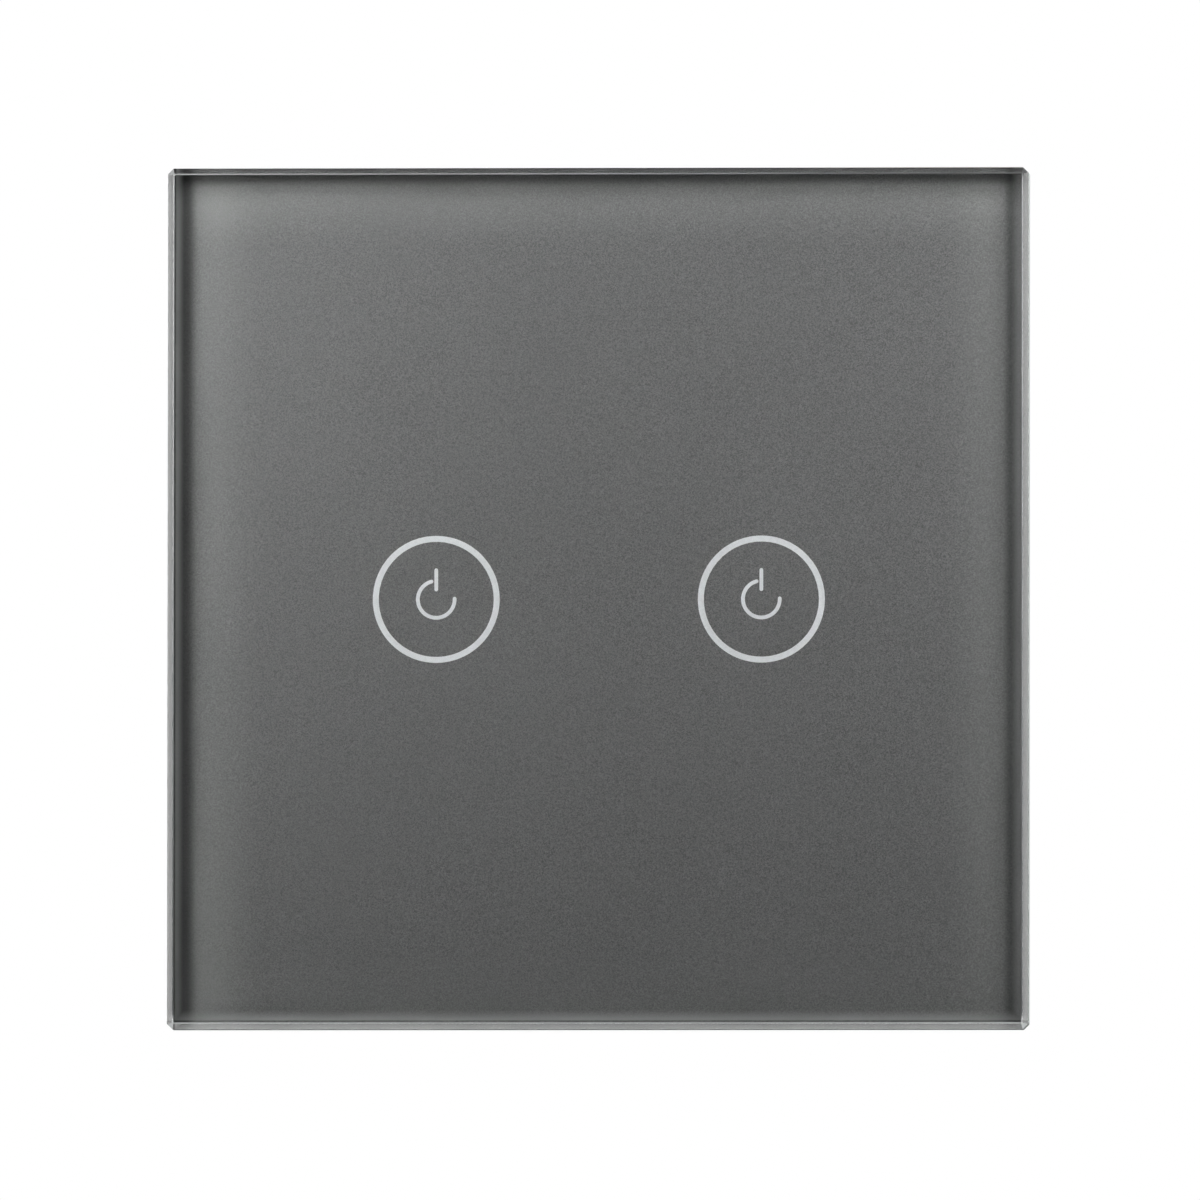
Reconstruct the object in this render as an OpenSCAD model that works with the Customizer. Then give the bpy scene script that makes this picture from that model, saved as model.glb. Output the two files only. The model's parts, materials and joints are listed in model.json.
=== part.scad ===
// Touch light switch: a square glass panel with two touch points on a flush-mounted body.
// Every piece is drawn lying on its back: x to the right, y up the wall, z out of the wall.
// The wall is the plane z = 0. upright() then stands the piece up, so that the glass faces -Y.

/* [Glass panel] */
// Width and height of the square glass
panel_size = 86; // [84:1:100]
// Thickness of the glass
glass_t = 4; // [3:0.5:6]
// Width of the bevel round the front edge
glass_bevel = 0.6; // [0.3:0.1:1.5]
// Cut on each of the four upright corners
glass_corner = 0.55; // [0.3:0.05:2]
// Clear margin between the edge of the glass and its colour coat
coat_margin = 0.3; // [0.1:0.1:1]
// Thickness of the colour coat and of the symbols printed in it
coat_t = 0.1; // [0.05:0.05:0.3]

/* [Symbols] */
// Distance between the two touch points
icon_pitch = 32.5; // [28:0.5:35]
// Outer diameter of the ring
ring_d = 12.7; // [11:0.1:14]
// Line width of the ring
ring_line = 0.6; // [0.3:0.05:1.2]
// Outer diameter of the power mark's arc
mark_d = 4.06; // [3:0.02:7]
// Line width of the power mark
mark_line = 0.38; // [0.2:0.02:0.6]
// Where the arc starts, in degrees anticlockwise from the right
arc_start = 105; // [95:1:120]
// How far the arc runs, in degrees
arc_sweep = 257; // [200:1:280]
// Height of the stem's upper end above the ring's centre
stem_top = 3.1; // [2.4:0.1:4]
// Height of the stem's lower end above the ring's centre
stem_foot = 0.8; // [0.4:0.1:1.2]

/* [Panel carrier] */
// How far the carrier's side lies inside the edge of the glass
carrier_inset = 0.8; // [0.4:0.1:2]
// Thickness of the carrier's skirt
skirt_t = 1.6; // [1.2:0.1:2.2]
// Thickness of the carrier's plate
carrier_t = 1.8; // [1.4:0.1:2.4]
// Corner radius of the skirt
skirt_r = 1.5; // [0.5:0.1:4]
// Gap between the skirt's rim and the wall
wall_gap = 0.5; // [0.3:0.1:1.2]
// Thickness of the adhesive frame
tape_t = 0.5; // [0.3:0.1:1]
// Width of the adhesive frame's band
tape_w = 6; // [3:0.5:9]
// How far the adhesive frame lies inside the skirt's outer side
tape_inset = 1; // [0.5:0.1:2]
// How far the carrier's window lies inside the edge of the touch board
window_lap = 1; // [0.5:0.1:1.5]
// Length of a push-in tongue along its socket
tongue_l = 5; // [3.5:0.1:6]
// Thickness of a push-in tongue
tongue_t = 1.5; // [1:0.1:2]
// Thickness of the skirt's inner ribs
skirt_rib_t = 1.2; // [0.8:0.1:2]
// Distance between neighbouring ribs on one side
skirt_rib_pitch = 18; // [14:1:20]
// Width of the pry notch in the lower side of the skirt
pry_w = 12; // [8:0.5:14]
// Height of the pry notch
pry_h = 1.8; // [1:0.1:3]

/* [Yoke] */
// Width and height of the steel yoke
yoke_size = 71; // [70:0.5:74]
// Thickness of the yoke
yoke_t = 1.2; // [1:0.1:2]
// Corner radius of the yoke
yoke_r = 3; // [1:0.5:5]
// Distance between the fixing screws of the wall box
slot_pitch = 60; // [59:0.1:61]
// Width of a fixing slot
slot_w = 4; // [3.6:0.1:4.6]
// Length of a fixing slot
slot_l = 7; // [5.5:0.1:7.5]
// Diameter of a rivet's shank
rivet_d = 2.4; // [2:0.1:3]
// Diameter of a rivet's heads
rivet_head_d = 4.2; // [3.6:0.1:4.8]
// Height of a rivet's front head
rivet_head_h = 0.8; // [0.5:0.1:1.2]
// How deep a rivet's rear head is sunk in the yoke
rivet_sink = 0.6; // [0.4:0.05:0.8]
// Height of the rivets above and below the middle
rivet_rise = 15; // [11:0.5:20]

/* [Front cover] */
// Thickness of the cover's plate
cover_t = 1.6; // [1.2:0.1:2.4]
// How far the cover laps over the housing's outer side
cover_lap = 1.2; // [0.6:0.1:1.6]
// Room round a fixing slot for the screw's head
head_room = 2.7; // [2:0.1:4]
// Wall of a tongue's socket
socket_wall = 1.4; // [1:0.1:2]
// Edge of the cover beyond its sockets
cover_edge = 0.9; // [0.4:0.1:1.2]
// Corner radius of the cover
cover_r = 2; // [0.5:0.5:3]
// Diameter of a post that reaches back to the housing's screws
post_d = 5.2; // [4.4:0.1:5.6]
// Thickness of the ribs that press on the power board and carry it
board_rib_t = 1.2; // [0.8:0.1:1.6]
// Width of the ribs that press on the power board and carry it
board_rib_w = 10; // [6:1:20]

/* [Rear housing] */
// Width across the housing's flats
body_flats = 48; // [47:0.5:50]
// Cut on the housing's four corners
body_chamfer = 8; // [7:0.5:9]
// Thickness of the housing's walls
body_wall = 1.6; // [1.2:0.1:2]
// Height of a screw boss on the rear wall
boss_h = 5; // [3:0.5:8]
// Wall of a screw boss round its screw's head
boss_wall = 0.6; // [0.4:0.1:0.8]
// Diameter of a housing screw's shank
housing_screw_d = 2.6; // [2:0.1:3]
// Length of a housing screw below its head
housing_screw_l = 10; // [8:0.5:14]
// Diameter of a housing screw's head
housing_head_d = 4.6; // [3.8:0.1:4.8]
// Height of a housing screw's head
housing_head_h = 1.6; // [1:0.1:2]
// How deep a housing screw's head lies below the rear face
housing_head_sink = 0.3; // [0:0.1:1]
// Width of an air slot in the upper wall
vent_w = 1.4; // [0.8:0.1:2]
// Length of an air slot
vent_l = 9; // [5:0.5:12]
// Distance between neighbouring air slots
vent_pitch = 3.2; // [2.6:0.1:5]
// Number of air slots
vent_count = 7; // [3:1:9]
// Width of the bare label field in the rear face
label_w = 22; // [14:1:26]
// Height of the label field
label_h = 12; // [8:1:16]
// Depth of the label field
label_depth = 0.3; // [0.2:0.05:0.6]

/* [Touch board] */
// Width and height of the touch board
touch_size = 52; // [50:0.5:53]
// Thickness of the touch board
touch_t = 1; // [0.8:0.1:1.6]
// Height of the bosses that the touch board rests on
touch_standoff = 0.4; // [0.2:0.1:1]
// Distance between the touch board's screws
touch_screw_pitch = 43; // [41:0.5:44]
// Diameter of a touch board screw's shank
touch_screw_d = 2; // [1.6:0.1:2.4]
// Diameter of a touch board screw's head
touch_head_d = 3.6; // [3:0.1:4]
// Height of a touch board screw's head
touch_head_h = 1.2; // [0.8:0.1:1.6]
// Wall of a boss round its screw
touch_boss_wall = 1.2; // [0.8:0.1:1.6]
// Space between the touch board and the colour coat, which the touch springs fill
spring_h = 3.3; // [3:0.1:5]
// Wire diameter of a touch spring
spring_wire = 0.45; // [0.3:0.05:0.5]
// Number of curls of a touch spring
spring_turns = 2.5; // [2:0.5:3]
// How much narrower the spring's upper end is
spring_taper = 1.2; // [0.6:0.1:1.8]
// How far a light guide reaches past the ring symbol
guide_lap = 0.5; // [0.2:0.1:1]
// Radial width of a light guide
guide_w = 2.1; // [1.6:0.1:2.6]
// Length of a ring LED
led_l = 1.6; // [1:0.1:2]
// Width of a ring LED
led_w = 0.8; // [0.5:0.1:1]
// Height of a ring LED
led_h = 0.6; // [0.4:0.1:1]
// Number of LEDs under one light guide
led_count = 4; // [2:1:6]
// Length of the controller chip
chip_l = 9.9; // [5:0.1:12]
// Width of the controller chip
chip_w = 3.9; // [3:0.1:6]
// Height of the controller chip above the board
chip_h = 1.6; // [1:0.1:2.4]
// Distance between the chip's leads
chip_pitch = 1.27; // [0.65:0.01:1.27]
// Number of leads on one side of the chip
chip_leads = 8; // [3:1:8]
// Thickness of the chip's leads
chip_lead_t = 0.2; // [0.15:0.05:0.3]
// Length of the foot of a chip's lead
chip_foot_l = 1; // [0.6:0.1:1.4]
// How far the chip lies below the middle
chip_drop = 13; // [10:0.5:18]

/* [Board connector] */
// Number of pins
pin_count = 7; // [3:1:7]
// Distance between pins
pin_pitch = 2.54; // [2:0.01:2.54]
// Width of a square pin
pin_w = 0.64; // [0.5:0.02:0.7]
// Width of the connector's mouldings
header_w = 2.5; // [2.2:0.1:3]
// Height of the header under the touch board
header_h = 2.2; // [1.6:0.1:3]
// Height of the socket on the power board
header_socket_h = 3.8; // [3:0.1:5]
// Gap between header and socket
header_play = 0.2; // [0.1:0.1:0.6]
// How far the connector lies below the housing's inner wall
header_inset = 2.4; // [2:0.1:2.8]

/* [Power board] */
// Thickness of the power board
power_t = 1.6; // [1:0.1:2]
// Diameter of round component leads
lead_d = 0.7; // [0.5:0.05:0.8]
// How far a lead stands out of its board
lead_tail = 0.8; // [0.4:0.1:1]
// Gap between neighbouring components
part_gap = 0.8; // [0.4:0.1:1]
// Length of the film capacitor
film_cap_l = 16; // [10:0.5:18]
// Thickness of the film capacitor
film_cap_w = 6.2; // [4:0.1:7]
// Height of the film capacitor
film_cap_h = 11; // [8:0.5:14]
// Distance between the film capacitor's leads
film_cap_leads = 10; // [6:0.5:12]
// Diameter of the reservoir capacitor
can_d = 8; // [6.3:0.1:8.5]
// Height of the reservoir capacitor
can_h = 11.5; // [8:0.5:14]
// Distance between the reservoir capacitor's leads
can_leads = 3.5; // [2.5:0.1:5]
// Diameter of the varistor's disc
disc_d = 7.2; // [5:0.1:8]
// Thickness of the varistor's disc
disc_t = 3.4; // [2.5:0.1:4]
// Distance between the varistor's leads
disc_leads = 5; // [2.5:0.1:5]
// Diameter of the fuse
fuse_d = 3; // [2.4:0.1:4]
// Length of the fuse
fuse_l = 6; // [5:0.1:7]

/* [Relay] */
// Length of a relay
relay_l = 20; // [18:0.5:21]
// Width of a relay
relay_w = 10.2; // [10:0.1:10.6]
// Gap between the two relays
relay_gap = 1.6; // [0.8:0.1:2]
// Wall of the relay's cover
relay_wall = 0.7; // [0.5:0.1:0.9]
// Thickness of the relay's base
base_t = 2; // [1.4:0.1:3]
// Thickness of the iron yoke
iron_t = 1; // [0.8:0.1:1.2]
// Width of the iron yoke and the armature
iron_w = 6; // [4:0.5:6.4]
// Diameter of the iron core
core_d = 3.4; // [2.6:0.1:4]
// Distance from the armature's pivot to the core
core_reach = 5.7; // [5.4:0.1:6.5]
// Width of the bobbin's square flanges
bobbin_w = 8; // [7:0.1:8.4]
// Thickness of a bobbin flange
flange_t = 0.8; // [0.5:0.1:1.2]
// Wall of the bobbin's tube
bobbin_wall = 0.6; // [0.4:0.1:0.8]
// Length of the winding
winding_l = 6.8; // [5:0.1:8]
// Depth of the winding inside the flanges' edge
winding_inset = 0.3; // [0.1:0.1:0.6]
// How far the core stands out of its bobbin
core_proud = 0.5; // [0.2:0.1:0.8]
// Air gap between core and armature when the relay is off
air_gap = 0.45; // [0.4:0.05:0.8]
// Thickness of the armature
armature_t = 1.2; // [0.8:0.1:1.6]
// Radius of the round bead that the armature rocks on
bead_r = 0.65; // [0.6:0.05:0.8]
// Depth of the bead's middle below the armature
bead_sink = 0.25; // [0.2:0.05:0.4]
// Thickness of the contact arm
leaf_t = 0.3; // [0.2:0.05:0.4]
// Width of the contact arm
leaf_w = 3; // [2.6:0.1:4]
// Diameter of a contact button
contact_d = 2.4; // [1.8:0.1:2.6]
// Height of the moving contact button
contact_h = 0.6; // [0.4:0.1:0.6]
// Height of the fixed contact button
fixed_button_h = 0.5; // [0.3:0.1:0.8]
// Gap between the contacts when the relay is off
contact_gap = 0.9; // [0.85:0.05:1.2]
// Thickness of the fixed contact's blade
blade_t = 0.6; // [0.4:0.1:0.8]
// Width of the fixed contact's blade
blade_w = 3.6; // [2.6:0.1:5]

/* [Terminals] */
// Distance between neighbouring poles
pole_pitch = 8.2; // [7.8:0.1:8.6]
// Width of a clamp cage
cage_w = 6.4; // [6:0.1:6.6]
// Depth of a clamp cage along the wire
cage_d = 6; // [5:0.1:6.4]
// Side wall of a clamp cage
cage_wall = 0.8; // [0.6:0.1:1]
// Thickness of the cage's floor, which grips the wire
cage_floor = 1.2; // [0.8:0.1:1.6]
// Thickness of the cage's threaded wall
nut_t = 2.4; // [1.8:0.1:3]
// Open space for the wire between floor and tongue
wire_gap = 4.6; // [3.6:0.1:5]
// Smallest wire that the clamp holds
least_wire = 1; // [0.6:0.1:1.5]
// Thickness of a contact tongue
blade_bar_t = 1; // [0.8:0.1:1.4]
// Width of a contact tongue
blade_bar_w = 4.4; // [3.4:0.1:4.6]
// Width of the tongue's leg through the power board
leg_w = 2; // [1.4:0.1:2.6]
// Distance from the cage's pocket to the tongue's leg
leg_run = 1.4; // [1:0.1:2]
// Wall of the terminal block
block_wall = 0.8; // [0.6:0.1:1]
// Gap between the terminal block and the power board
block_gap = 1.2; // [0.8:0.1:2]
// Thickness of the seat under a terminal screw's head
seat_t = 1; // [0.8:0.1:1.6]
// Diameter of a terminal screw's shank
pole_screw_d = 3; // [2.5:0.1:3.5]
// Diameter of a terminal screw's head
pole_head_d = 5; // [4.4:0.1:5.4]
// Height of a terminal screw's head
pole_head_h = 1.8; // [1.4:0.1:2.4]
// How far a terminal screw's head lies below the rear wall's inner side
pole_head_sink = 0.4; // [0.2:0.1:1]

/* [Clearances] */
// Gap of a push-in tongue in its socket, on each side
latch_gap = 0.2; // [0.1:0.05:0.3]
// Gap round a screw, rivet or pin in its hole
hole_gap = 0.05; // [0.03:0.01:0.1]
// Gap round a component lead in its board
lead_gap = 0.15; // [0.1:0.01:0.25]
// Gap between fixed pieces that fit inside each other
fit_gap = 0.2; // [0.1:0.05:0.3]
// Running gap of a clamp cage, and of the other pieces that slide
slide_gap = 0.3; // [0.2:0.05:0.4]
// Gap between the yoke's opening and the housing
yoke_gap = 0.4; // [0.2:0.1:0.6]
// Gap between pieces that pass each other without a fit
pass_gap = 0.6; // [0.4:0.1:0.8]

/* [Hidden] */
$fn = 64;
left = -1;
right = 1;
cut = 0.05;
arc_steps = 40;
corner_steps = 6;
cap_steps = 8;
spring_sides = 6;
rings_per_curl = 8;
recess_span = 0.7;
recess_depth = 0.6;

// Depths, from the wall to the front of the glass
cover_front = yoke_t + cover_t;
touch_back = cover_front + touch_standoff;
touch_front = touch_back + touch_t;
coat_back = touch_front + spring_h;
glass_back = coat_back + coat_t;
glass_front = glass_back + glass_t;
carrier_front = coat_back - tape_t;
carrier_back = carrier_front - carrier_t;
socket_top = carrier_back - latch_gap;
tongue_tip = yoke_t + slide_gap;
touch_screw_tip = yoke_t + fit_gap;

// Widths of the panel, the carrier and the cover
coat_size = panel_size - 2 * coat_margin;
carrier_size = panel_size - 2 * carrier_inset;
skirt_inner = carrier_size - 2 * skirt_t;
tape_size = carrier_size - 2 * tape_inset;
skirt_rib_end = yoke_size / 2 + pass_gap;
socket_l = tongue_l + 2 * latch_gap + 2 * socket_wall;
socket_w = tongue_t + 2 * latch_gap + 2 * socket_wall;
socket_at = touch_size / 2 + pass_gap + socket_w / 2;
cover_size = 2 * (socket_at + socket_l / 2 + cover_edge);
notch_start = body_flats / 2 + cover_lap;
rivet_at = (touch_size + cover_size) / 4;

// Light guides and touch springs
guide_d = ring_d + 2 * guide_lap;
guide_bore = guide_d - 2 * guide_w;
guide_top = coat_back - slide_gap;
led_at = (guide_d + guide_bore) / 4;
spring_base_r = guide_bore / 2 - spring_wire / 2 - pass_gap;
spring_top = coat_back - fit_gap;

// Window of the carrier: over the touch board's edge, and clear of what stands on the board
window_size = max(
    touch_size - 2 * window_lap,
    icon_pitch + guide_d + 2 * pass_gap,
    touch_screw_pitch + touch_head_d + 2 * pass_gap
);

// Inside of the housing
inner_half = body_flats / 2 - body_wall;
chamfer_inner = (body_flats - body_chamfer) / sqrt(2) - body_wall;
post_at = (chamfer_inner - post_d / 2 - slide_gap) / sqrt(2);
header_y = inner_half - header_inset;
header_l = pin_count * pin_pitch;
power_front = touch_back - header_h - header_play - header_socket_h;
power_back = power_front - power_t;
lead_end = power_t + lead_tail;

// Clamps, from the power board to the rear wall
block_half = 1.5 * pole_pitch + block_wall;
block_bottom = fit_gap - inner_half;
pocket_bottom = block_bottom + block_wall;
pocket_d = cage_d + 2 * slide_gap;
pocket_top = pocket_bottom + pocket_d;
pole_y = pocket_bottom + pocket_d / 2;
leg_y = pocket_top + leg_run;
channel_top = leg_y + blade_bar_t + fit_gap;
block_top = channel_top + block_wall;
block_front = power_back - block_gap;
pocket_front = block_front - block_wall;
cage_front = pocket_front - slide_gap;
bar_front = cage_front - cage_floor - wire_gap;
bar_back = bar_front - blade_bar_t;
nut_front = bar_back - slide_gap;
nut_back = nut_front - nut_t;
clamp_travel = wire_gap - least_wire;
pocket_back = nut_back - clamp_travel - slide_gap;
head_seat = pocket_back - seat_t;
head_back = head_seat - pole_head_h;
cage_inner = cage_w - 2 * cage_wall;

// Relay heights above the power board, and places along its length
iron_top = base_t + iron_t;
winding_foot = iron_top + flange_t;
winding_top = winding_foot + winding_l;
bobbin_top = winding_top + flange_t;
core_top = bobbin_top + core_proud;
armature_foot = core_top + air_gap;
armature_top = armature_foot + armature_t;
pivot_rise = armature_foot - bead_sink;
leaf_top = armature_top + leaf_t;
relay_h = leaf_top + pass_gap + relay_wall;
fixed_top = armature_top - contact_h - contact_gap;
blade_top = fixed_top - fixed_button_h;
relay_in_l = relay_l - 2 * relay_wall;
relay_in_w = relay_w - 2 * relay_wall;
leg_back = pass_gap - relay_in_l / 2;
pivot_at = leg_back + iron_t / 2;
core_at = pivot_at + core_reach;
armature_tail = bead_r + slide_gap;
armature_reach = core_reach + core_d / 2 + pass_gap;
blade_at = relay_in_l / 2 - pass_gap - blade_t;
contact_at = blade_at - contact_d / 2 - pass_gap / 2;
coil_pin_x = bobbin_w / 2 - lead_d / 2 - hole_gap;
coil_pin_y = core_at + core_d / 2 + lead_d + slide_gap;

// Places on the power board
relay_x = (relay_gap + relay_w) / 2;
relay_y = block_top + part_gap + relay_l / 2;
film_cap_y = relay_y + relay_l / 2 + part_gap + film_cap_w / 2;
side_x = relay_gap / 2 + relay_w + part_gap + can_d / 2;
disc_y = relay_y + disc_d / 2 + part_gap;
fuse_y = relay_y - fuse_l / 2 - part_gap - lead_d;
fuse_lead = fuse_l / 2 + lead_d;

// Rear wall, behind whichever of clamps and relays reaches further
rear_inner = min(head_back - pole_head_sink, power_back - relay_h - pass_gap);
rear_face = rear_inner - body_wall;
boss_top = rear_inner + boss_h;
post_end = boss_top + fit_gap;
housing_seat = rear_face + housing_head_sink + housing_head_h;
housing_tip = housing_seat + housing_screw_l;
block_back = rear_inner + fit_gap;

// Stands a piece up on the wall
module upright() {
    rotate([90, 0, 0]) children();
}

// Flat piece of a given outline between two depths
module slab(outline, from, to) {
    translate([0, 0, from]) linear_extrude(to - from) polygon(outline);
}

// Box of a given width and height, centred on a point, between two depths
module box(size, from, to, at = [0, 0]) {
    translate([at.x - size.x / 2, at.y - size.y / 2, from]) cube([size.x, size.y, to - from]);
}

// Round rod between two depths
module rod(d, from, to, at = [0, 0]) {
    translate([at.x, at.y, from]) cylinder(d = d, h = to - from);
}

module at_corners(half_x, half_y) {
    for (sx = [left, right], sy = [left, right]) translate([sx * half_x, sy * half_y, 0]) children();
}

module at_icons() {
    for (side = [left, right]) translate([side * icon_pitch / 2, 0, 0]) children();
}

module at_poles() {
    for (pole = [1:3]) translate([pole_x(pole), 0, 0]) children();
}

module at_pins() {
    for (i = [0:pin_count - 1]) translate([(i + 0.5) * pin_pitch - header_l / 2, header_y, 0]) children();
}

// Relay pieces are drawn with z rising from the power board towards the rear
module at_relay(side) {
    translate([side * relay_x, relay_y, power_back]) mirror([0, 0, 1]) children();
}

// Components on the power board's rear face, with z rising towards the rear
module on_power_board(x, y) {
    translate([x, y, power_back]) mirror([0, 0, 1]) children();
}

function pole_x(pole) = (pole - 2) * pole_pitch;

// Square with rounded corners
function rounded_outline(size, r) = [
    for (corner = [0:3], i = [0:corner_steps])
        let (a = 90 * corner + 90 * i / corner_steps,
             sx = corner == 0 || corner == 3 ? 1 : -1,
             sy = corner < 2 ? 1 : -1)
        [sx * (size / 2 - r) + r * cos(a), sy * (size / 2 - r) + r * sin(a)]
];

// Square with cut corners
function cut_outline(size, corner) =
    let (h = size / 2, k = h - corner)
    [[h, -k], [h, k], [k, h], [-k, h], [-h, k], [-h, -k], [-k, -h], [k, -h]];

// Outline of the housing, grown evenly by a gap
function body_outline(grow) =
    cut_outline(body_flats + 2 * grow, body_chamfer + grow * (2 - sqrt(2)));

// Points of an arc round a centre
function arc_points(centre, r, from, to, steps) = [
    for (i = [0:steps]) let (a = from + (to - from) * i / steps) centre + r * [cos(a), sin(a)]
];

// Broken ring with round ends
function mark_outline() =
    let (half = mark_line / 2, mid = mark_d / 2 - half, arc_end = arc_start + arc_sweep)
    concat(
        arc_points([0, 0], mid + half, arc_start, arc_end, arc_steps),
        arc_points(mid * [cos(arc_end), sin(arc_end)], half, arc_end, arc_end + 180, cap_steps),
        arc_points([0, 0], mid - half, arc_end, arc_start, arc_steps),
        arc_points(mid * [cos(arc_start), sin(arc_start)], half, arc_start - 180, arc_start, cap_steps)
    );

// Upright stem with round ends
function stem_outline() =
    let (half = mark_line / 2)
    concat(
        arc_points([0, stem_top - half], half, 0, 180, cap_steps),
        arc_points([0, stem_foot + half], half, 180, 360, cap_steps)
    );

module symbol(from, to) {
    difference() {
        rod(ring_d, from, to);
        rod(ring_d - 2 * ring_line, from - cut, to + cut);
    }
    slab(mark_outline(), from, to);
    slab(stem_outline(), from, to);
}

// Cross recess of a screw's head, cut from z = 0 upwards
module cross_recess(span, depth) {
    slot = span / 4;
    box([span, slot], -cut, depth);
    box([slot, span], -cut, depth);
}

// Wedge that takes the front edge off the glass, at a distance from its middle
module edge_bevel(reach) {
    run = glass_bevel + cut;
    translate([reach, 0, glass_front]) rotate([90, 0, 0])
        linear_extrude(2 * panel_size, center = true) polygon([[-run, cut], [cut, -run], [cut, cut]]);
}

module glass_panel() {
    color([0.75, 0.85, 0.83, 0.4]) upright() difference() {
        slab(cut_outline(panel_size, glass_corner), glass_back, glass_front);
        for (turn = [0:90:270]) rotate(turn) edge_bevel(panel_size / 2);
        for (turn = [45:90:315]) rotate(turn) edge_bevel((panel_size - glass_corner) / sqrt(2));
    }
}

module colour_coat() {
    color([0.39, 0.4, 0.4]) upright() difference() {
        slab(cut_outline(coat_size, glass_corner), coat_back, glass_back);
        at_icons() symbol(coat_back - cut, glass_back + cut);
    }
}

module touch_symbols() {
    color([0.78, 0.8, 0.81]) upright() at_icons() symbol(coat_back, glass_back);
}

module adhesive_frame() {
    color([0.12, 0.12, 0.12]) upright() difference() {
        slab(rounded_outline(tape_size, skirt_r), carrier_front, coat_back);
        slab(rounded_outline(tape_size - 2 * tape_w, skirt_r), carrier_front - cut, coat_back + cut);
    }
}

module panel_carrier() {
    color([0.16, 0.16, 0.17]) upright() difference() {
        union() {
            difference() {
                slab(rounded_outline(carrier_size, skirt_r), wall_gap, carrier_front);
                slab(rounded_outline(skirt_inner, skirt_r), wall_gap - cut, carrier_back);
            }
            for (turn = [0:90:270], step = [-1.5:1.5]) rotate(turn)
                box(
                    [(skirt_inner + skirt_t) / 2 - skirt_rib_end, skirt_rib_t],
                    yoke_t, carrier_back + carrier_t / 2,
                    [((skirt_inner + skirt_t) / 2 + skirt_rib_end) / 2, step * skirt_rib_pitch]
                );
            at_corners(socket_at, socket_at)
                box([tongue_l, tongue_t], tongue_tip, carrier_front - carrier_t / 2);
        }
        box([window_size, window_size], carrier_back - cut, carrier_front + cut);
        box([pry_w, 4 * skirt_t], wall_gap - cut, wall_gap + pry_h, [0, -carrier_size / 2]);
    }
}

// Round-ended fixing slot, along x
module fixing_slot() {
    half = (slot_l - slot_w) / 2;
    for (end = [left, right]) rod(slot_w, -cut, yoke_t + cut, [end * half, 0]);
    box([2 * half, slot_w], -cut, yoke_t + cut);
}

module mounting_yoke() {
    color([0.72, 0.74, 0.76]) upright() difference() {
        slab(rounded_outline(yoke_size, yoke_r), 0, yoke_t);
        slab(body_outline(yoke_gap), -cut, yoke_t + cut);
        for (turn = [0:90:270]) rotate(turn) translate([slot_pitch / 2, 0, 0]) fixing_slot();
        at_corners(rivet_at, rivet_rise) {
            rod(rivet_d + 2 * hole_gap, -cut, yoke_t + cut);
            rod(rivet_head_d + 2 * hole_gap, -cut, rivet_sink);
        }
    }
}

module yoke_rivets() {
    color([0.8, 0.8, 0.78]) upright() at_corners(rivet_at, rivet_rise) {
        rod(rivet_head_d, 0, rivet_sink);
        rod(rivet_d, rivet_sink / 2, cover_front + rivet_head_h / 2);
        rod(rivet_head_d, cover_front, cover_front + rivet_head_h);
    }
}

module front_cover() {
    post_foot = yoke_t + cover_t / 2;
    color([0.86, 0.86, 0.84]) upright() difference() {
        union() {
            difference() {
                slab(rounded_outline(cover_size, cover_r), yoke_t, cover_front);
                for (turn = [0:90:270]) rotate(turn)
                    box(
                        [cover_size / 2, slot_w + 2 * head_room],
                        yoke_t - cut, cover_front + cut,
                        [notch_start + cover_size / 4, 0]
                    );
            }
            at_corners(socket_at, socket_at) box([socket_l, socket_w], yoke_t, socket_top);
            at_corners(touch_screw_pitch / 2, touch_screw_pitch / 2)
                rod(touch_screw_d + 2 * touch_boss_wall, yoke_t, touch_back);
            at_corners(post_at, post_at) rod(post_d, post_end, post_foot);
            for (side = [left, right])
                box(
                    [board_rib_t, board_rib_w],
                    power_front, post_foot,
                    [side * (inner_half - pass_gap - board_rib_t / 2), 0]
                );
        }
        at_corners(socket_at, socket_at)
            box([tongue_l + 2 * latch_gap, tongue_t + 2 * latch_gap], yoke_t - cut, socket_top + cut);
        at_corners(touch_screw_pitch / 2, touch_screw_pitch / 2)
            rod(touch_screw_d + 2 * hole_gap, yoke_t - cut, touch_back + cut);
        at_corners(post_at, post_at)
            rod(housing_screw_d + 2 * hole_gap, post_end - cut, housing_tip + pass_gap);
        at_corners(rivet_at, rivet_rise) rod(rivet_d + 2 * hole_gap, yoke_t - cut, cover_front + cut);
        box(
            [header_l + 2 * pass_gap, header_w + 2 * pass_gap],
            yoke_t - cut, cover_front + cut,
            [0, header_y]
        );
    }
}

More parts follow.
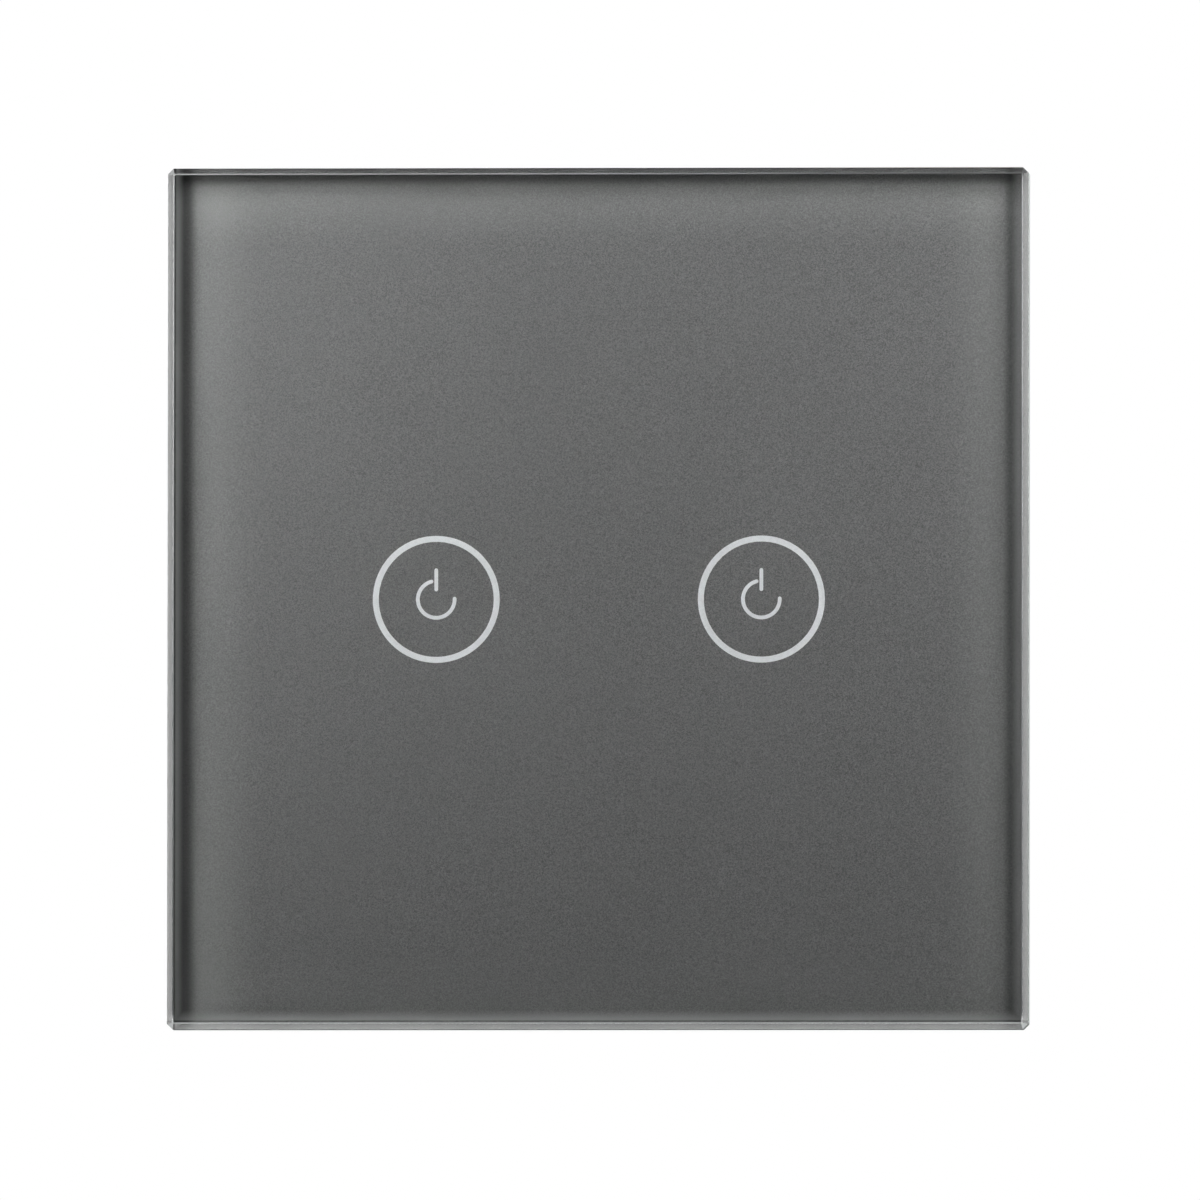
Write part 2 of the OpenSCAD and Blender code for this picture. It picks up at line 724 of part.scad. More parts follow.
module rear_housing() {
    boss_d = housing_head_d + 2 * hole_gap + 2 * boss_wall;
    port_h = wire_gap + 2 * fit_gap;
    port_back = bar_front - fit_gap;
    color([0.84, 0.85, 0.86]) upright() difference() {
        union() {
            difference() {
                slab(body_outline(0), rear_face, yoke_t);
                slab(body_outline(-body_wall), rear_inner, yoke_t + cut);
            }
            at_corners(post_at, post_at) rod(boss_d, rear_inner - body_wall / 2, boss_top);
            for (side = [left, right])
                box(
                    [board_rib_t + body_wall / 2, board_rib_w],
                    rear_inner - body_wall / 2, power_back,
                    [side * (inner_half - (board_rib_t - body_wall / 2) / 2), 0]
                );
        }
        at_corners(post_at, post_at) {
            rod(housing_screw_d + 2 * hole_gap, rear_face - cut, boss_top + cut);
            rod(housing_head_d + 2 * hole_gap, rear_face - cut, housing_seat);
        }
        at_poles() {
            rod(pole_head_d + 2 * slide_gap, rear_face - cut, rear_inner + cut, [0, pole_y]);
            box(
                [cage_inner + 2 * fit_gap, 4 * body_wall],
                port_back, port_back + port_h,
                [0, -body_flats / 2]
            );
        }
        for (i = [0:vent_count - 1])
            box(
                [vent_w, 4 * body_wall],
                rear_inner + boss_h, rear_inner + boss_h + vent_l,
                [(i - (vent_count - 1) / 2) * vent_pitch, body_flats / 2]
            );
        box([label_w, label_h], rear_face - cut, rear_face + label_depth, [0, relay_y + label_h / 4]);
    }
}

// Round-headed screw that is driven from the rear: head, shank and cross recess
module rear_screw(head_d, head_from, seat, shank_d, tip) {
    difference() {
        union() {
            rod(head_d, head_from, seat);
            rod(shank_d, (head_from + seat) / 2, tip);
        }
        translate([0, 0, head_from]) cross_recess(head_d * recess_span, (seat - head_from) * recess_depth);
    }
}

module housing_screws() {
    color([0.7, 0.7, 0.68]) upright() at_corners(post_at, post_at)
        rear_screw(
            housing_head_d, housing_seat - housing_head_h, housing_seat,
            housing_screw_d, housing_tip
        );
}

module touch_board() {
    color([0.1, 0.32, 0.2]) upright() difference() {
        box([touch_size, touch_size], touch_back, touch_front);
        at_corners(touch_screw_pitch / 2, touch_screw_pitch / 2)
            rod(touch_screw_d + 2 * hole_gap, touch_back - cut, touch_front + cut);
        at_pins() rod(pin_w * sqrt(2) + 2 * hole_gap, touch_back - cut, touch_front + cut);
    }
}

module touch_board_screws() {
    head_top = touch_front + touch_head_h;
    color([0.75, 0.75, 0.74]) upright() at_corners(touch_screw_pitch / 2, touch_screw_pitch / 2)
        translate([0, 0, head_top]) mirror([0, 0, 1])
            rear_screw(touch_head_d, 0, touch_head_h, touch_screw_d, head_top - touch_screw_tip);
}

module touch_controller() {
    lead_w = chip_pitch / 3;
    color([0.1, 0.1, 0.11]) upright() translate([0, -chip_drop, touch_front]) {
        box([chip_l, chip_w], chip_lead_t, chip_h);
        for (i = [0:chip_leads - 1], side = [left, right])
            translate([(i - (chip_leads - 1) / 2) * chip_pitch, side * chip_w / 2, 0]) {
                box([lead_w, 3 * chip_lead_t], 0, chip_h / 2, [0, side * chip_lead_t / 2]);
                box([lead_w, chip_foot_l], 0, chip_lead_t, [0, side * chip_foot_l / 2]);
            }
    }
}

module at_leds() {
    at_icons() for (i = [0:led_count - 1])
        rotate((i + 0.5) * 360 / led_count) translate([led_at, 0, 0]) children();
}

module ring_leds() {
    color([0.9, 0.88, 0.7]) upright() at_leds() box([led_w, led_l], touch_front, touch_front + led_h);
}

module light_guide(side) {
    gap = 2 * fit_gap;
    color([0.92, 0.94, 0.95, 0.6]) upright() translate([side * icon_pitch / 2, 0, 0]) difference() {
        rod(guide_d, touch_front, guide_top);
        rod(guide_bore, touch_front - cut, guide_top + cut);
        for (i = [0:led_count - 1]) rotate((i + 0.5) * 360 / led_count)
            box([led_w + gap, led_l + gap], touch_front - cut, touch_front + led_h + fit_gap, [led_at, 0]);
    }
}

// Conical touch spring: one wire, swept along a helix that narrows upwards.
// Its two ends stand straight up for one wire diameter.
spring_steps = rings_per_curl * spring_turns;
spring_foot = touch_front + spring_wire;
spring_rise = spring_top - spring_wire - spring_foot;

function helix_point(t) =
    let (a = 360 * spring_turns * t, r = spring_base_r - spring_taper * t)
    [r * cos(a), r * sin(a), spring_foot + spring_rise * t];

spring_path = concat(
    [[spring_base_r, 0, touch_front]],
    [for (i = [0:spring_steps]) helix_point(i / spring_steps)],
    [helix_point(1) + [0, 0, spring_wire]]
);

function unit(v) = v / norm(v);

// Ring of points round the wire at one step of the path
function wire_ring(i) =
    let (
        last = len(spring_path) - 1,
        turn = 360 * spring_turns * min(max(i - 1, 0), spring_steps) / spring_steps,
        along = i == 0 || i == last ? [0, 0, 1] : unit(spring_path[i + 1] - spring_path[i - 1]),
        across = unit(cross(along, [cos(turn), sin(turn), 0])),
        out = cross(across, along)
    )
    [
        for (j = [0:spring_sides - 1])
            let (a = 360 * j / spring_sides)
            spring_path[i] + spring_wire / 2 * (cos(a) * out + sin(a) * across)
    ];

spring_points = [for (i = [0:len(spring_path) - 1]) each wire_ring(i)];
spring_faces = concat(
    [for (j = [1:spring_sides - 2]) [0, j, j + 1]],
    [
        for (i = [0:len(spring_path) - 2], j = [0:spring_sides - 1])
            let (a = i * spring_sides, b = a + spring_sides, k = (j + 1) % spring_sides)
            each [[a + j, b + j, b + k], [a + j, b + k, a + k]]
    ],
    let (top = (len(spring_path) - 1) * spring_sides)
    [for (j = [1:spring_sides - 2]) [top, top + j + 1, top + j]]
);

// Least gap between neighbouring curls, from points at least half a curl apart
spring_gap = min([
    for (i = [0:len(spring_path) - 1], j = [0:len(spring_path) - 1])
        if (j - i > rings_per_curl / 2) norm(spring_path[i] - spring_path[j]) - spring_wire
]);
echo(least_gap_of_touch_spring = spring_gap);

module touch_spring(side) {
    color([0.85, 0.8, 0.62]) upright() translate([side * icon_pitch / 2, 0, 0])
        polyhedron(spring_points, spring_faces);
}

module pin_header() {
    hole = pin_w + 2 * hole_gap;
    color([0.1, 0.1, 0.1]) upright() difference() {
        box([header_l, header_w], touch_back - header_h, touch_back, [0, header_y]);
        at_pins() box([hole, hole], touch_back - header_h - cut, touch_back + cut);
    }
}

module header_pins() {
    color([0.85, 0.72, 0.35]) upright() at_pins()
        box([pin_w, pin_w], power_front + pass_gap, touch_front + lead_tail);
}

module header_socket() {
    hole = pin_w + 2 * lead_gap;
    color([0.1, 0.1, 0.1]) upright() {
        difference() {
            box([header_l, header_w], power_front, power_front + header_socket_h, [0, header_y]);
            at_pins() box([hole, hole], power_front + pass_gap / 2, power_front + header_socket_h + cut);
        }
        at_pins() rod(lead_d, power_back - lead_tail, power_front + pass_gap / 4);
    }
}

module power_board() {
    hole = lead_d + 2 * lead_gap;
    leg_hole = [leg_w + 2 * lead_gap, blade_bar_t + 2 * lead_gap];
    from = power_back - cut;
    to = power_front + cut;
    color([0.12, 0.36, 0.22]) upright() difference() {
        slab(body_outline(-body_wall - fit_gap), power_back, power_front);
        at_corners(post_at, post_at) rod(post_d + 2 * latch_gap, from, to);
        at_pins() rod(hole, from, to);
        at_poles() box(leg_hole, from, to, [0, leg_y + blade_bar_t / 2]);
        for (side = [left, right]) {
            translate([side * relay_x, relay_y, 0]) {
                for (point = relay_pin_places()) rod(hole, from, to, point);
                rod(hole + blade_t, from, to, [0, blade_at + blade_t / 2]);
            }
            rod(hole, from, to, [side * film_cap_leads / 2, film_cap_y]);
            rod(hole, from, to, [left * side_x, relay_y + side * can_leads / 2]);
            rod(hole, from, to, [right * side_x, disc_y + side * disc_leads / 2]);
            rod(hole, from, to, [right * side_x, fuse_y + side * fuse_lead]);
        }
    }
}

module film_capacitor() {
    color([0.78, 0.62, 0.16]) upright() on_power_board(0, film_cap_y) {
        box([film_cap_l, film_cap_w], 0, film_cap_h);
        for (side = [left, right]) rod(lead_d, -lead_end, lead_d, [side * film_cap_leads / 2, 0]);
    }
}

module reservoir_capacitor() {
    color([0.13, 0.14, 0.2]) upright() on_power_board(left * side_x, relay_y) {
        rod(can_d, 0, can_h);
        for (side = [left, right]) rod(lead_d, -lead_end, lead_d, [0, side * can_leads / 2]);
    }
}

module varistor() {
    rise = disc_d / 2 + lead_d;
    color([0.12, 0.3, 0.58]) upright() on_power_board(right * side_x, disc_y) {
        translate([-disc_t / 2, 0, rise]) rotate([0, 90, 0]) cylinder(d = disc_d, h = disc_t);
        for (side = [left, right]) rod(lead_d, -lead_end, rise, [0, side * disc_leads / 2]);
    }
}

module fuse() {
    rise = fuse_d / 2 + fit_gap;
    color([0.55, 0.42, 0.32]) upright() on_power_board(right * side_x, fuse_y) {
        translate([0, fuse_l / 2, rise]) rotate([90, 0, 0]) cylinder(d = fuse_d, h = fuse_l);
        box([lead_d, 2 * fuse_lead], rise - lead_d / 2, rise + lead_d / 2);
        for (side = [left, right]) rod(lead_d, -lead_end, rise, [0, side * fuse_lead]);
    }
}

// Pins of one relay: two for the coil, one for the iron yoke, which carries the moving contact
function relay_pin_places() = [[-coil_pin_x, coil_pin_y], [coil_pin_x, coil_pin_y], [0, pivot_at]];

module relay_base(side) {
    color([0.2, 0.2, 0.22]) upright() at_relay(side) difference() {
        box([relay_in_w - 2 * hole_gap, relay_in_l - 2 * hole_gap], 0, base_t);
        for (point = relay_pin_places()) rod(lead_d + 2 * hole_gap, -cut, base_t + cut, point);
        box(
            [lead_d + 2 * hole_gap, blade_t + 2 * hole_gap],
            -cut, base_t + cut,
            [0, blade_at + blade_t / 2]
        );
    }
}

module relay_cover(side) {
    color([0.1, 0.25, 0.55]) upright() at_relay(side) difference() {
        box([relay_w, relay_l], 0, relay_h);
        box([relay_in_w, relay_in_l], -cut, relay_h - relay_wall);
    }
}

module relay_pins(side) {
    tops = [iron_top, iron_top, base_t];
    places = relay_pin_places();
    color([0.8, 0.8, 0.78]) upright() at_relay(side)
        for (i = [0:2]) rod(lead_d, -lead_end, tops[i], places[i]);
}

// L-shaped iron yoke with the round core standing on its foot, and the bead that the armature rocks on
module relay_iron(side) {
    foot_l = core_at + core_d / 2 - leg_back;
    color([0.62, 0.63, 0.64]) upright() at_relay(side) {
        box([iron_w, iron_t], base_t, pivot_rise, [0, pivot_at]);
        box([iron_w, foot_l], base_t, iron_top, [0, leg_back + foot_l / 2]);
        rod(core_d, base_t + iron_t / 2, core_top, [0, core_at]);
        translate([-iron_w / 2, pivot_at, pivot_rise]) rotate([0, 90, 0]) cylinder(r = bead_r, h = iron_w);
    }
}

module relay_bobbin(side) {
    tube_d = core_d + 2 * hole_gap + 2 * bobbin_wall;
    color([0.9, 0.88, 0.82]) upright() at_relay(side) difference() {
        union() {
            box([bobbin_w, bobbin_w], iron_top, winding_foot, [0, core_at]);
            rod(tube_d, iron_top, bobbin_top, [0, core_at]);
            box([bobbin_w, bobbin_w], winding_top, bobbin_top, [0, core_at]);
        }
        rod(core_d + 2 * hole_gap, iron_top - cut, bobbin_top + cut, [0, core_at]);
    }
}

module relay_coil(side) {
    tube_d = core_d + 2 * hole_gap + 2 * bobbin_wall;
    color([0.72, 0.38, 0.16]) upright() at_relay(side) difference() {
        rod(bobbin_w - 2 * winding_inset, winding_foot, winding_top, [0, core_at]);
        rod(tube_d, winding_foot - cut, winding_top + cut, [0, core_at]);
    }
}

module fixed_contact(side) {
    tab_l = blade_at + blade_t - contact_at + contact_d / 2 + fit_gap;
    color([0.8, 0.62, 0.34]) upright() at_relay(side) {
        box([blade_w, blade_t], base_t, blade_top, [0, blade_at + blade_t / 2]);
        box([blade_w, tab_l], blade_top - blade_t, blade_top, [0, blade_at + blade_t - tab_l / 2]);
        rod(contact_d, blade_top - blade_t / 2, fixed_top, [0, contact_at]);
        box([lead_d, blade_t], -lead_end, base_t + blade_t, [0, blade_at + blade_t / 2]);
    }
}

module relay_armature(side) {
    armature_l = armature_tail + armature_reach;
    groove_r = bead_r + hole_gap;
    color([0.62, 0.63, 0.64]) upright() at_relay(side) translate([0, pivot_at, 0]) difference() {
        box([iron_w, armature_l], armature_foot, armature_top, [0, armature_l / 2 - armature_tail]);
        translate([-iron_w, 0, pivot_rise]) rotate([0, 90, 0]) cylinder(r = groove_r, h = 2 * iron_w);
    }
}

module contact_arm(side) {
    arm_from = core_at - core_d / 2;
    arm_to = contact_at + contact_d / 2 + fit_gap;
    color([0.8, 0.62, 0.34]) upright() at_relay(side) {
        box([leaf_w, arm_to - arm_from], armature_top, leaf_top, [0, (arm_from + arm_to) / 2]);
        rod(contact_d, armature_top - contact_h, leaf_top - leaf_t / 2, [0, contact_at]);
    }
}

module terminal_block() {
    block_h = block_top - block_bottom;
    pocket_w = cage_w + 2 * slide_gap;
    channel_w = blade_bar_w + 2 * fit_gap;
    channel_l = channel_top - pocket_top;
    color([0.12, 0.12, 0.13]) upright() difference() {
        box([2 * block_half, block_h], block_back, block_front, [0, block_bottom + block_h / 2]);
        at_poles() {
            box([pocket_w, pocket_d], pocket_back, pocket_front, [0, pole_y]);
            box([cage_inner, 4 * block_wall], bar_front, bar_front + wire_gap, [0, block_bottom]);
            box(
                [channel_w, channel_l + cut],
                bar_back, block_front + cut,
                [0, (pocket_top + channel_top - cut) / 2]
            );
            rod(pole_screw_d + 2 * lead_gap, head_seat - cut, pocket_back + cut, [0, pole_y]);
            rod(pole_head_d + 2 * slide_gap, block_back - cut, head_seat, [0, pole_y]);
        }
    }
}

module contact_tongues() {
    bar_tip = pole_y - cage_d / 2;
    bar_end = leg_y + blade_bar_t;
    color([0.82, 0.66, 0.3]) upright() at_poles() {
        box([blade_bar_w, bar_end - bar_tip], bar_back, bar_front, [0, (bar_tip + bar_end) / 2]);
        box([blade_bar_w, blade_bar_t], bar_back, block_front, [0, leg_y + blade_bar_t / 2]);
        box([leg_w, blade_bar_t], bar_front, power_front + lead_tail, [0, leg_y + blade_bar_t / 2]);
    }
}

module clamp_cage(pole) {
    color([0.8, 0.64, 0.3]) upright() translate([pole_x(pole), pole_y, 0]) difference() {
        box([cage_w, cage_d], nut_back, cage_front);
        box([cage_inner, 2 * cage_d], nut_front, cage_front - cage_floor);
        rod(pole_screw_d + 2 * hole_gap, nut_back - cut, nut_front + cut);
    }
}

module terminal_screw(pole) {
    color([0.78, 0.78, 0.76]) upright() translate([pole_x(pole), pole_y, 0])
        rear_screw(pole_head_d, head_back, head_seat, pole_screw_d, bar_back - hole_gap);
}

glass_panel();
colour_coat();
touch_symbols();
adhesive_frame();
panel_carrier();
mounting_yoke();
yoke_rivets();
front_cover();
rear_housing();
housing_screws();
touch_board();
touch_board_screws();
touch_controller();
ring_leds();
touch_spring(left);  // touch_spring_left
touch_spring(right);  // touch_spring_right
light_guide(left);  // light_guide_left
light_guide(right);  // light_guide_right
pin_header();
header_pins();
header_socket();
power_board();
film_capacitor();
reservoir_capacitor();
varistor();
fuse();
relay_base(left);  // relay_base_left
relay_cover(left);  // relay_cover_left
relay_bobbin(left);  // relay_bobbin_left
relay_coil(left);  // relay_coil_left
relay_iron(left);  // relay_iron_left
relay_pins(left);  // relay_pins_left
fixed_contact(left);  // fixed_contact_left
relay_armature(left);  // relay_armature_left
contact_arm(left);  // contact_arm_left
relay_base(right);  // relay_base_right
relay_cover(right);  // relay_cover_right
relay_bobbin(right);  // relay_bobbin_right
relay_coil(right);  // relay_coil_right
relay_iron(right);  // relay_iron_right
relay_pins(right);  // relay_pins_right
fixed_contact(right);  // fixed_contact_right
relay_armature(right);  // relay_armature_right
contact_arm(right);  // contact_arm_right
terminal_block();
contact_tongues();
clamp_cage(1);  // clamp_cage_1
clamp_cage(2);  // clamp_cage_2
clamp_cage(3);  // clamp_cage_3
terminal_screw(1);  // terminal_screw_1
terminal_screw(2);  // terminal_screw_2
terminal_screw(3);  // terminal_screw_3
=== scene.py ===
# %% [markdown]
# # A glass touch switch, dressed over its CAD frame
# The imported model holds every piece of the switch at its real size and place. This lesson gives
# those pieces their looks: the polished glass with its grey coat, the moulded shells, the zinc
# plate, the boards and the clamps. The frame is loaded first, and it is never moved or resized.

# %% Load the frame
import json
import math

import bmesh
import bpy
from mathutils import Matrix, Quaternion, Vector


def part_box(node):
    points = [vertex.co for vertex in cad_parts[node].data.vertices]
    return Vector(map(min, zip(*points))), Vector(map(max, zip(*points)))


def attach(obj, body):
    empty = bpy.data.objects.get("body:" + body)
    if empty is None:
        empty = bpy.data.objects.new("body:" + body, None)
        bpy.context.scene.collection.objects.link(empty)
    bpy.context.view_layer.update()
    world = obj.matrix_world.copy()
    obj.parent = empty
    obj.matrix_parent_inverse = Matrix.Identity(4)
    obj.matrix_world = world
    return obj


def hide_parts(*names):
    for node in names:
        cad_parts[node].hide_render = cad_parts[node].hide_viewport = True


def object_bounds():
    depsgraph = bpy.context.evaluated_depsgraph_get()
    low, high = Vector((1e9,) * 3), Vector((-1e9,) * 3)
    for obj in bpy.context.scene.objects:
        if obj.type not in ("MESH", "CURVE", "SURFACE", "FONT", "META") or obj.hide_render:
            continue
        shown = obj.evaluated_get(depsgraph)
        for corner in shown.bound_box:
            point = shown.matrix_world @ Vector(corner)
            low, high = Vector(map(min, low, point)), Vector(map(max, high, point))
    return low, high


MM = 0.001
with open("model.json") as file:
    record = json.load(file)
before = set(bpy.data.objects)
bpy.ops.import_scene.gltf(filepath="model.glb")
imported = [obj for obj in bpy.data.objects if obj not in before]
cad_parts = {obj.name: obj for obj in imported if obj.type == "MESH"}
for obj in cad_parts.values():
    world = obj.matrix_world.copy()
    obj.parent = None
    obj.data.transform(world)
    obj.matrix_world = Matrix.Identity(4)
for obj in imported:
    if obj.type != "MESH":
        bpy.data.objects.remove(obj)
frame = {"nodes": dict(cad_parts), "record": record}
nodes = frame["nodes"]
cad_low, cad_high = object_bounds()
print("nodes:", len(nodes), "size in mm:", [round(side / MM, 1) for side in cad_high - cad_low])

# %% [markdown]
# ## Camera
# The glass fills a square of the picture whose left and right, top and bottom edges are parallel,
# so the picture was taken from far away with a long lens. Its right and lower borders look a
# little wider than the other two, because the camera stood slightly to the right and below. A
# very long lens turned by those few degrees gives both. Seen from a corner, level edges lean a
# little, so the camera rolls by half of that lean and shares it between level and upright edges.
# The aim is worked out from where the glass lies in the picture.

# %% Camera
IMAGE_SIDE = 1200
GLASS_LEFT = 166.9
GLASS_RIGHT = 1030.2
GLASS_TOP = 167.5
GLASS_BOTTOM = 1030.6
VIEW_RIGHT = math.radians(3.0)
VIEW_BELOW = math.radians(2.2)
LENS = 1000
SENSOR = 36

away = Vector((
    math.sin(VIEW_RIGHT) * math.cos(VIEW_BELOW),
    -math.cos(VIEW_RIGHT) * math.cos(VIEW_BELOW),
    -math.sin(VIEW_BELOW),
))
turn = (-away).to_track_quat("-Z", "Y")
lean = math.atan2((turn @ Vector((0, 1, 0))).x, (turn @ Vector((1, 0, 0))).x)
turn = turn @ Quaternion((0, 0, 1), lean / 2)
view_right = turn @ Vector((1, 0, 0))
view_up = turn @ Vector((0, 1, 0))
glass_points = [v.co for v in nodes["glass_panel"].data.vertices]
across = [view_right.dot(p) for p in glass_points]
upward = [view_up.dot(p) for p in glass_points]
pixel = (max(across) - min(across)) / (GLASS_RIGHT - GLASS_LEFT)
off_right = (GLASS_LEFT + GLASS_RIGHT - IMAGE_SIDE) / 2 * pixel
off_down = (GLASS_TOP + GLASS_BOTTOM - IMAGE_SIDE) / 2 * pixel
distance = LENS / SENSOR * IMAGE_SIDE * pixel

camera = bpy.data.objects.new("camera", bpy.data.cameras.new("camera"))
camera.data.lens = LENS
camera.data.sensor_width = SENSOR
camera.rotation_mode = "QUATERNION"
camera.rotation_quaternion = turn
camera.location = (
    view_right * ((max(across) + min(across)) / 2 - off_right)
    + view_up * ((max(upward) + min(upward)) / 2 + off_down)
    + away * (sum(away.dot(p) for p in glass_points) / len(glass_points) + distance)
)
bpy.context.scene.collection.objects.link(camera)
bpy.context.scene.camera = camera
print("camera", round(distance, 2), "m away,", round(pixel / MM, 4), "mm to a pixel")

# %% [markdown]
# ## Node helpers
# Every finish below is a small tree of nodes. A few helpers keep them short: one adds a node and
# sets or links its inputs in a single call, one links what varies to a node that stands already,
# and the rest mix colours, stretch values and do sums. A value that is the same all over a
# surface goes straight to the shader's own socket.

# %% Node helpers
def add(tree, kind, inputs=None, **settings):
    """Adds a node. An input is a number, three values, or the socket that feeds it."""
    node = tree.nodes.new(kind)
    for key, value in settings.items():
        setattr(node, key, value)
    for key, value in (inputs or {}).items():
        socket = node.inputs[key]
        if isinstance(value, bpy.types.NodeSocket):
            tree.links.new(value, socket)
        else:
            socket.default_value = (*value, 1.0) if socket.type == "RGBA" else value
    return node


def feed(tree, node, **sockets):
    """Links sockets to a node's inputs, with spaces for underscores."""
    for key, socket in sockets.items():
        tree.links.new(socket, node.inputs[key.replace("_", " ")])


def mix_colours(tree, share, first, second):
    """The colour between two colours or colour sockets."""
    node = add(tree, "ShaderNodeMix", {0: share, 6: first, 7: second}, data_type="RGBA")
    return node.outputs[2]


def remap(tree, value, low, high, to_low, to_high, shape="LINEAR"):
    """Stretches a value from one span to another, held at both ends."""
    spans = {"From Min": low, "From Max": high, "To Min": to_low, "To Max": to_high}
    node = add(tree, "ShaderNodeMapRange", {"Value": value, **spans}, interpolation_type=shape)
    return node.outputs["Result"]


def calculate(tree, operation, first, second=0.0):
    """One sum on two values."""
    return add(tree, "ShaderNodeMath", {0: first, 1: second}, operation=operation).outputs[0]


print("helpers ready")

# %% [markdown]
# ## Stage
# A plain floor lies well below. It is pale to the camera and dark to all else, so that it throws
# little light up at the switch, and seen from below it is clear. The world is plain white to the
# camera. Glass and metal see a studio that is white behind the object and dark behind the camera,
# as in a photograph of a shiny thing, while matt surfaces get an even soft light.

# %% Stage
FLOOR_DROP = 0.25
FLOOR_SIDE = 12.0
FLOOR_LIFT = 0.42
FLOOR_PALE = (0.86, 0.86, 0.85)
FLOOR_DARK = (0.15, 0.15, 0.15)
AMBIENT = 0.5
DARK_SIDE = 0.03
WHITE_FROM = -0.02
WHITE_AT = 0.25
WHITE = (1, 1, 1)


def make_floor():
    mesh = bpy.data.meshes.new("floor")
    half = FLOOR_SIDE / 2
    level = cad_low.z - FLOOR_DROP
    ring = [(-half, -half, level), (half, -half, level), (half, half, level), (-half, half, level)]
    mesh.from_pydata(ring, [], [(0, 1, 2, 3)])
    floor = bpy.data.objects.new("floor", mesh)
    bpy.context.scene.collection.objects.link(floor)
    material = bpy.data.materials.new("pale floor")
    material.use_nodes = True
    tree = material.node_tree
    tree.nodes.clear()
    path = add(tree, "ShaderNodeLightPath")
    face = add(tree, "ShaderNodeNewGeometry")
    lift = calculate(tree, "MULTIPLY", path.outputs["Is Camera Ray"], FLOOR_LIFT)
    paint = mix_colours(tree, path.outputs["Is Camera Ray"], FLOOR_DARK, FLOOR_PALE)
    matt = add(tree, "ShaderNodeBsdfDiffuse", {"Color": paint})
    glow = add(tree, "ShaderNodeEmission", {"Strength": lift})
    both = add(tree, "ShaderNodeAddShader", {0: matt.outputs[0], 1: glow.outputs[0]})
    clear = add(tree, "ShaderNodeBsdfTransparent")
    sides = {0: face.outputs["Backfacing"], 1: both.outputs[0], 2: clear.outputs[0]}
    shown = add(tree, "ShaderNodeMixShader", sides)
    add(tree, "ShaderNodeOutputMaterial", {"Surface": shown.outputs[0]})
    mesh.materials.append(material)


def make_world():
    world = bpy.data.worlds.new("studio")
    world.use_nodes = True
    tree = world.node_tree
    tree.nodes.clear()
    path = add(tree, "ShaderNodeLightPath")
    where = add(tree, "ShaderNodeTexCoord").outputs["Generated"]
    depth = add(tree, "ShaderNodeSeparateXYZ", {0: where}).outputs["Y"]
    backdrop = remap(tree, depth, WHITE_FROM, WHITE_AT, DARK_SIDE, 1.0)
    mirrored = calculate(
        tree, "MAXIMUM", path.outputs["Is Glossy Ray"], path.outputs["Is Transmission Ray"]
    )
    shade = add(tree, "ShaderNodeMix", {0: mirrored, 2: AMBIENT, 3: backdrop}).outputs[0]
    strength = add(tree, "ShaderNodeMix", {0: path.outputs["Is Camera Ray"], 2: shade, 3: 1.0})
    glow = add(tree, "ShaderNodeBackground", {"Color": WHITE, "Strength": strength.outputs[0]})
    add(tree, "ShaderNodeOutputWorld", {"Surface": glow.outputs[0]})
    bpy.context.scene.world = world


make_floor()
make_world()
bpy.context.scene.view_settings.view_transform = "Standard"
print("floor", FLOOR_DROP, "m below the glass")

# %% [markdown]
# ## Lights
# Each bevel of the glass mirrors what stands straight beside it. So a narrow strip stands beside
# each edge: bright on the left and right, dimmer below and nearly dark above. Three softboxes
# close in front make the face slope from bright to dark. Two large ones far away fill in the back
# and the top, where no bevel mirrors them. A light is given by its brightness, where 1 is a white
# wall. Its power follows from its area, with the watts that a square metre of such a wall takes.

# %% Lights
WHITE_WALL = 4.0


def softbox(name, spot, aim, width, height, brightness):
    """A soft rectangular light at a spot, turned to a point."""
    lamp = bpy.data.lights.new(name, "AREA")
    lamp.shape = "RECTANGLE"
    lamp.size = width
    lamp.size_y = height
    lamp.energy = WHITE_WALL * width * height * brightness
    light = bpy.data.objects.new(name, lamp)
    light.location = spot
    light.rotation_mode = "QUATERNION"
    light.rotation_quaternion = (Vector(aim) - Vector(spot)).to_track_quat("-Z", "Y")
    light.visible_camera = False
    bpy.context.scene.collection.objects.link(light)


softbox("left strip", (-0.135, -0.008, 0), (0, -0.008, 0), 0.02, 0.26, 3.6)
softbox("right strip", (0.135, -0.018, 0), (0, -0.018, 0), 0.03, 0.26, 4.1)
softbox("lower strip", (0, -0.016, -0.135), (0, -0.016, 0), 0.26, 0.03, 2.0)
softbox("upper strip", (0, 0.006, 0.135), (0, 0.006, 0), 0.26, 0.04, 0.2)
softbox("left softbox", (-0.118, -0.070, 0.055), (-0.030, -0.012, 0.0), 0.08, 0.10, 10.8)
softbox("right softbox", (0.130, -0.070, 0.055), (0.030, -0.012, 0.0), 0.08, 0.10, 9.1)
softbox("top softbox", (0, -0.064, 0.100), (0, -0.012, 0.03), 0.20, 0.04, 2.9)
softbox("back fill", (0.2, 1.0, 0.35), (0, 0, 0), 0.6, 0.6, 3.5)
softbox("upper fill", (-0.3, -0.45, 1.1), (0, 0, 0), 0.8, 0.8, 1.5)

# %% [markdown]
# ## Surface effects
# Moulded grain, worn edges, settled dust and rolling lines show on many finishes, each at its own
# scale. Each effect is one node group, built once, that only puts out masks, heights and normals.

# %% Surface effects
FLOAT = "NodeSocketFloat"
VECTOR = "NodeSocketVector"


